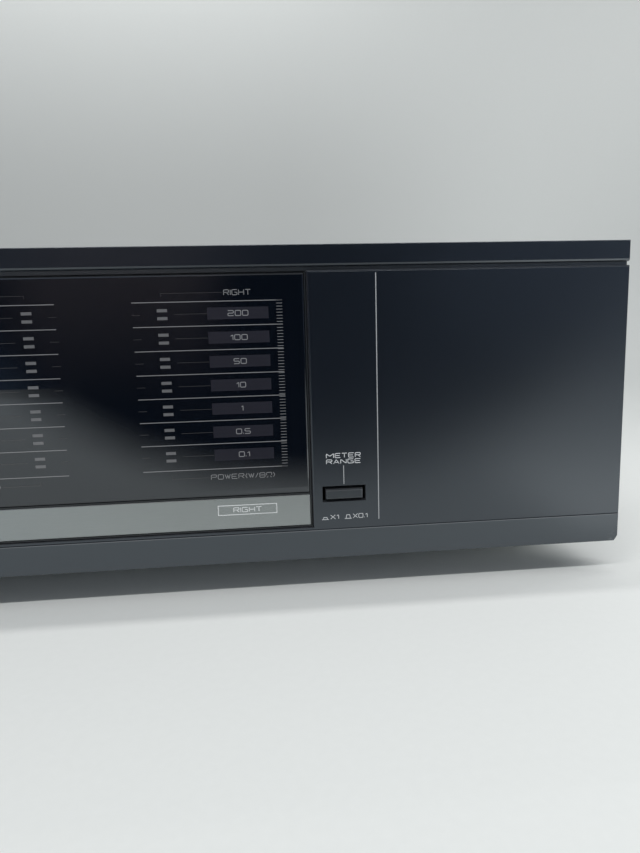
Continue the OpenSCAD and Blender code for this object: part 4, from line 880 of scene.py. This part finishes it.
rule_ends = panel_top - RULE_TOP, panel_top - RULE_FOOT
rules = [(upright(side * RULE_PLACE, *rule_ends), RULE_LINE) for side in (-1, 1)]
rules += [pointer(button, drop) for button, drop in POINTER_DROPS.items()]
panel_strokes = letters("METER", RANGE_LEFT, RANGE_RIGHT, word_base["METER"], 2.1, RANGE_STROKE)
panel_strokes += letters("RANGE", RANGE_LEFT, RANGE_RIGHT, word_base["RANGE"], 2.0, RANGE_STROKE)
panel_strokes += push_sign(87.3, SIGN_IN, "X1", 90.9, 94.6, RANGE_SIGN_STROKE)
panel_strokes += push_sign(97.1, SIGN_OUT, "X0.1", 100.6, 106.9, RANGE_SIGN_STROKE)
speakers_middle = (SPEAKERS_LEFT + SPEAKERS_RIGHT) / 2
panel_strokes += letters("SPEAKERS", SPEAKERS_LEFT, SPEAKERS_RIGHT, word_base["SPEAKERS"], LABEL_HEIGHT)
panel_strokes += centred("A", speakers_middle, word_base["A"], LABEL_HEIGHT)
panel_strokes += centred("B", speakers_middle, SIGN_BASE, LABEL_HEIGHT)
panel_strokes += letters("POWER", POWER_LEFT, POWER_RIGHT, word_base["POWER"], LABEL_HEIGHT)
panel_strokes += push_sign(power_middle - 10.4, SIGN_IN, "ON", power_middle - 7.0, power_middle - 2.4)
panel_strokes += push_sign(power_middle + 0.4, SIGN_OUT, "OFF", power_middle + 3.8, power_middle + 10.6)
print_ink("panel_print", panel_strokes, panel_low.y, panel_ink)
print_ink("panel_rules", rules, panel_low.y, rule_ink)

# %% [markdown]
# ## Floor and backdrop
# The amplifier stands on one sheet of pale paper that runs up the wall behind it in a wide curve, so that no
# corner shows. The sheet is a profile carried along a straight path: level, a quarter circle, then upright.
# The paper's colour is darker low on the left of the wall: this is painted shade. Lights could make that
# shade, but every light added there would also change the shadows on the floor.

# %% Roll out the paper
PAPER_FRONT, PAPER_BEND, PAPER_RADIUS, PAPER_TOP, PAPER_HALF = -1.5, 0.8, 0.3, 2.6, 2.4
# Where the painted shade on the wall lies: its heights and its widths, in metres.
SHADE_LOW, SHADE_HIGH, SHADE_LEFT, SHADE_RIGHT = 0.4, 0.95, 0.1, 0.8
angle = np.linspace(0, math.pi / 2, 25)
profile = np.vstack([
    (PAPER_FRONT, 0.0),
    np.column_stack([
        PAPER_BEND + PAPER_RADIUS * np.sin(angle), PAPER_RADIUS * (1 - np.cos(angle)),
    ]),
    (PAPER_BEND + PAPER_RADIUS, PAPER_TOP),
])
left = np.insert(profile, 0, -PAPER_HALF, axis=1)
right = np.insert(profile, 0, PAPER_HALF, axis=1)
row = np.arange(len(profile) - 1)
count = len(profile)
paper_mesh = bpy.data.meshes.new("paper")
paper_mesh.from_pydata(
    np.vstack([left, right]), [], np.column_stack([row, row + count, row + count + 1, row + 1])
)
paper_mesh.shade_smooth()


def paper():
    """Pale fibres; painted shade, full low on the left of the wall, fades upwards and to the right."""
    material, shader, place = new_finish("paper")
    fibre = noise(place, 3 * mm, detail=4.0)
    width, depth, height = parts(place)
    wall = climb(depth, PAPER_BEND, PAPER_BEND + PAPER_RADIUS)
    # Painted shade: the paper is darker low on the left of the wall, as if less light fell there.
    painted_shade = wall * (1 - climb(height, SHADE_LOW, SHADE_HIGH)) * (1 - climb(width, SHADE_LEFT, SHADE_RIGHT))
    pale = blend(fibre, (0.77, 0.79, 0.78), (0.80, 0.82, 0.81))
    plug(shader, {
        "Base Color": blend(painted_shade, pale, (0.60, 0.615, 0.61)),
        "Roughness": 0.7 + 0.1 * fibre,
        "Specular IOR Level": 0.3,
    })
    return material


paper_mesh.materials.append(paper())
backdrop = bpy.data.objects.new("paper", paper_mesh)
bpy.context.collection.objects.link(backdrop)
print(f"paper of {len(paper_mesh.polygons)} faces")

# %% [markdown]
# ## A dark card in front
# A black, glossy front shows whatever stands before it. Studios use that: a dark card, called a flag, hides
# part of the pale floor, so that the middle of the window stays black behind its ink, while the floor still
# shows below and beside it. The card is an oval: its half width times the cosine, and its half height times
# the sine, of the angle. It thins out towards the rim, so that its picture has no hard edge, and its felt is
# painted lighter in two places, as painted light from the room, which shows in the left of the window and in
# the upper right of the panel. Only reflections see it: it hides nothing from a camera and takes no light
# away.

# %% Stand up the card
CARD_MIDDLE = Vector((0.101, -0.36, 0.188))
CARD_HALF_WIDTH, CARD_HALF_HEIGHT = 0.243, 0.178
RINGS, SPOKES = 5, 48
HUB, RIM = 0.01, 1.2
share, turn = np.meshgrid(np.linspace(HUB, RIM, RINGS + 1), np.linspace(0, 2 * math.pi, SPOKES + 1))
oval = np.stack([
    CARD_MIDDLE.x + CARD_HALF_WIDTH * share * np.cos(turn),
    np.full_like(turn, CARD_MIDDLE.y),
    np.maximum(CARD_MIDDLE.z + CARD_HALF_HEIGHT * share * np.sin(turn), mm),
], axis=-1)
spoke, ring = np.meshgrid(np.arange(SPOKES), np.arange(RINGS), indexing="ij")
corner = spoke * (RINGS + 1) + ring
quads = np.stack([corner, corner + 1, corner + RINGS + 2, corner + RINGS + 1], axis=-1)
card_mesh = bpy.data.meshes.new("dark_card")
card_mesh.from_pydata(oval.reshape(-1, 3), [], quads.reshape(-1, 4))


def card_felt():
    """Dark felt with a warm and a cool patch of painted light, opaque in the middle and thin at the rim."""
    material, shader, place = new_finish("card_felt")
    fibre = noise(place, 40 * mm, detail=3.0)
    across_card, up_card = parts(place)[::2]
    x = (across_card - CARD_MIDDLE.x) / CARD_HALF_WIDTH
    z = (up_card - CARD_MIDDLE.z) / CARD_HALF_HEIGHT
    # Painted light: two lighter patches on the felt, for lit parts of the room that the reflections show.
    warm_painted_light = climb(up_card, 52 * mm, 175 * mm) * climb(across_card, -128 * mm, -70 * mm)
    warm_painted_light = warm_painted_light * (1 - climb(across_card + 25 * mm * fibre, 20 * mm, 70 * mm))
    cool_painted_light = climb(up_card, 60 * mm, 140 * mm) * climb(across_card, 150 * mm, 225 * mm)
    felt = blend(cool_painted_light, (0.015, 0.025, 0.04), (0.19, 0.225, 0.3))
    plug(shader, {
        "Base Color": blend(warm_painted_light, felt, (0.36, 0.29, 0.3)),
        "Roughness": 0.9,
        "Alpha": 1 - climb(x * x + z * z + 0.1 * fibre, 0.85, 1.35),
    })
    return material


card_mesh.materials.append(card_felt())
card = bpy.data.objects.new("dark_card", card_mesh)
bpy.context.collection.objects.link(card)
card.visible_camera = card.visible_diffuse = card.visible_shadow = False
print(f"card of {len(card_mesh.polygons)} faces, {2 * CARD_HALF_WIDTH:.2f} m wide")

# %% [markdown]
# ## Soft light
# Panels of light do the work. A long, narrow one hangs high in front: seen from the panel it is only a line,
# so the shadow under the panel has a sharp front edge. A second line hangs almost overhead, and the panel
# keeps its light off the floor just in front, which makes the second, paler step of the shadow. Two panels
# wash the wall. On the right, one lights the floor, one stands far out in the room, and one lies on the floor
# where only reflections see it: their blurred pictures in the satin coat make the right end lighter. A low,
# cool fill in front reaches under the case, and no reflection sees that one.

# %% Hang the lights
WARM, COOL = (1.0, 0.995, 0.985), (0.78, 0.87, 1.0)


def soft_light(name, place, aim, width, height, power, colour=WARM, shines=True, mirrored=True):
    """Panel of light, turned from its place to its aim; shines and mirrored say which rays see it."""
    light = bpy.data.lights.new(name, "AREA")
    light.shape = "RECTANGLE"
    light.size, light.size_y = width, height
    light.energy = power
    light.color = colour
    lamp = bpy.data.objects.new(name, light)
    lamp.location = place
    lamp.rotation_euler = (Vector(aim) - Vector(place)).to_track_quat("-Z", "Y").to_euler()
    lamp.visible_camera = False
    lamp.visible_diffuse = shines
    lamp.visible_glossy = mirrored
    bpy.context.collection.objects.link(lamp)
    return lamp


lights = [
    soft_light("front_line", (0.0, -0.93, 1.5), (0.0, -0.98, 0.0), 2.4, 0.08, 16.3),
    soft_light("back_line", (0.2, 0.05, 1.85), (0.2, 0.0, 0.0), 2.2, 0.08, 9.8),
    soft_light("wall_wash", (-0.3, 0.85, 1.35), (-0.3, 1.1, 1.0), 1.2, 0.15, 2.5),
    soft_light("right_wash", (1.2, 0.6, 0.9), (0.95, 1.1, 0.55), 0.5, 0.5, 0.65),
    soft_light("right_floor", (0.55, -0.26, 0.35), (0.33, -0.3, 0.0), 0.25, 0.25, 0.5),
    soft_light("right_room", (1.0, -1.5, 0.45), (0.2, -0.18, 0.08), 0.9, 0.9, 0.42),
    soft_light("end_card", (0.31, -0.31, 0.003), (0.31, -0.31, 1.0), 0.16, 0.16, 0.052, shines=False),
    soft_light("low_fill", (0.1, -1.2, 0.3), (0.1, -0.1, 0.02), 1.6, 0.4, 2.3, COOL, mirrored=False),
]
print(len(lights), "panels of light")

# %% [markdown]
# ## The room
# Whatever the paper leaves open is the room. One grey would do for its light, but the room shows in three
# ways, so it has a colour for each kind of ray: pale to a camera, dimmer as a light, and a dark blue in every
# reflection, as the upper half of the window shows.

# %% Colour the room
ROOM_LIGHT, ROOM_MIRRORED, ROOM_SEEN = (0.25, 0.26, 0.265), (0.1, 0.145, 0.22), (0.55, 0.57, 0.57)
room = bpy.data.worlds.new("room")
room.use_nodes = True
rays = room.node_tree.nodes.new("ShaderNodeLightPath").outputs
room_colour = blend(Wire(rays["Is Glossy Ray"]), ROOM_LIGHT, ROOM_MIRRORED)
room_colour = blend(Wire(rays["Is Camera Ray"]), room_colour, ROOM_SEEN)
plug(room.node_tree.nodes["Background"].inputs, {"Color": room_colour})
bpy.context.scene.world = room
print(f"a {room.name} of {len(room.node_tree.nodes)} nodes")

# %% [markdown]
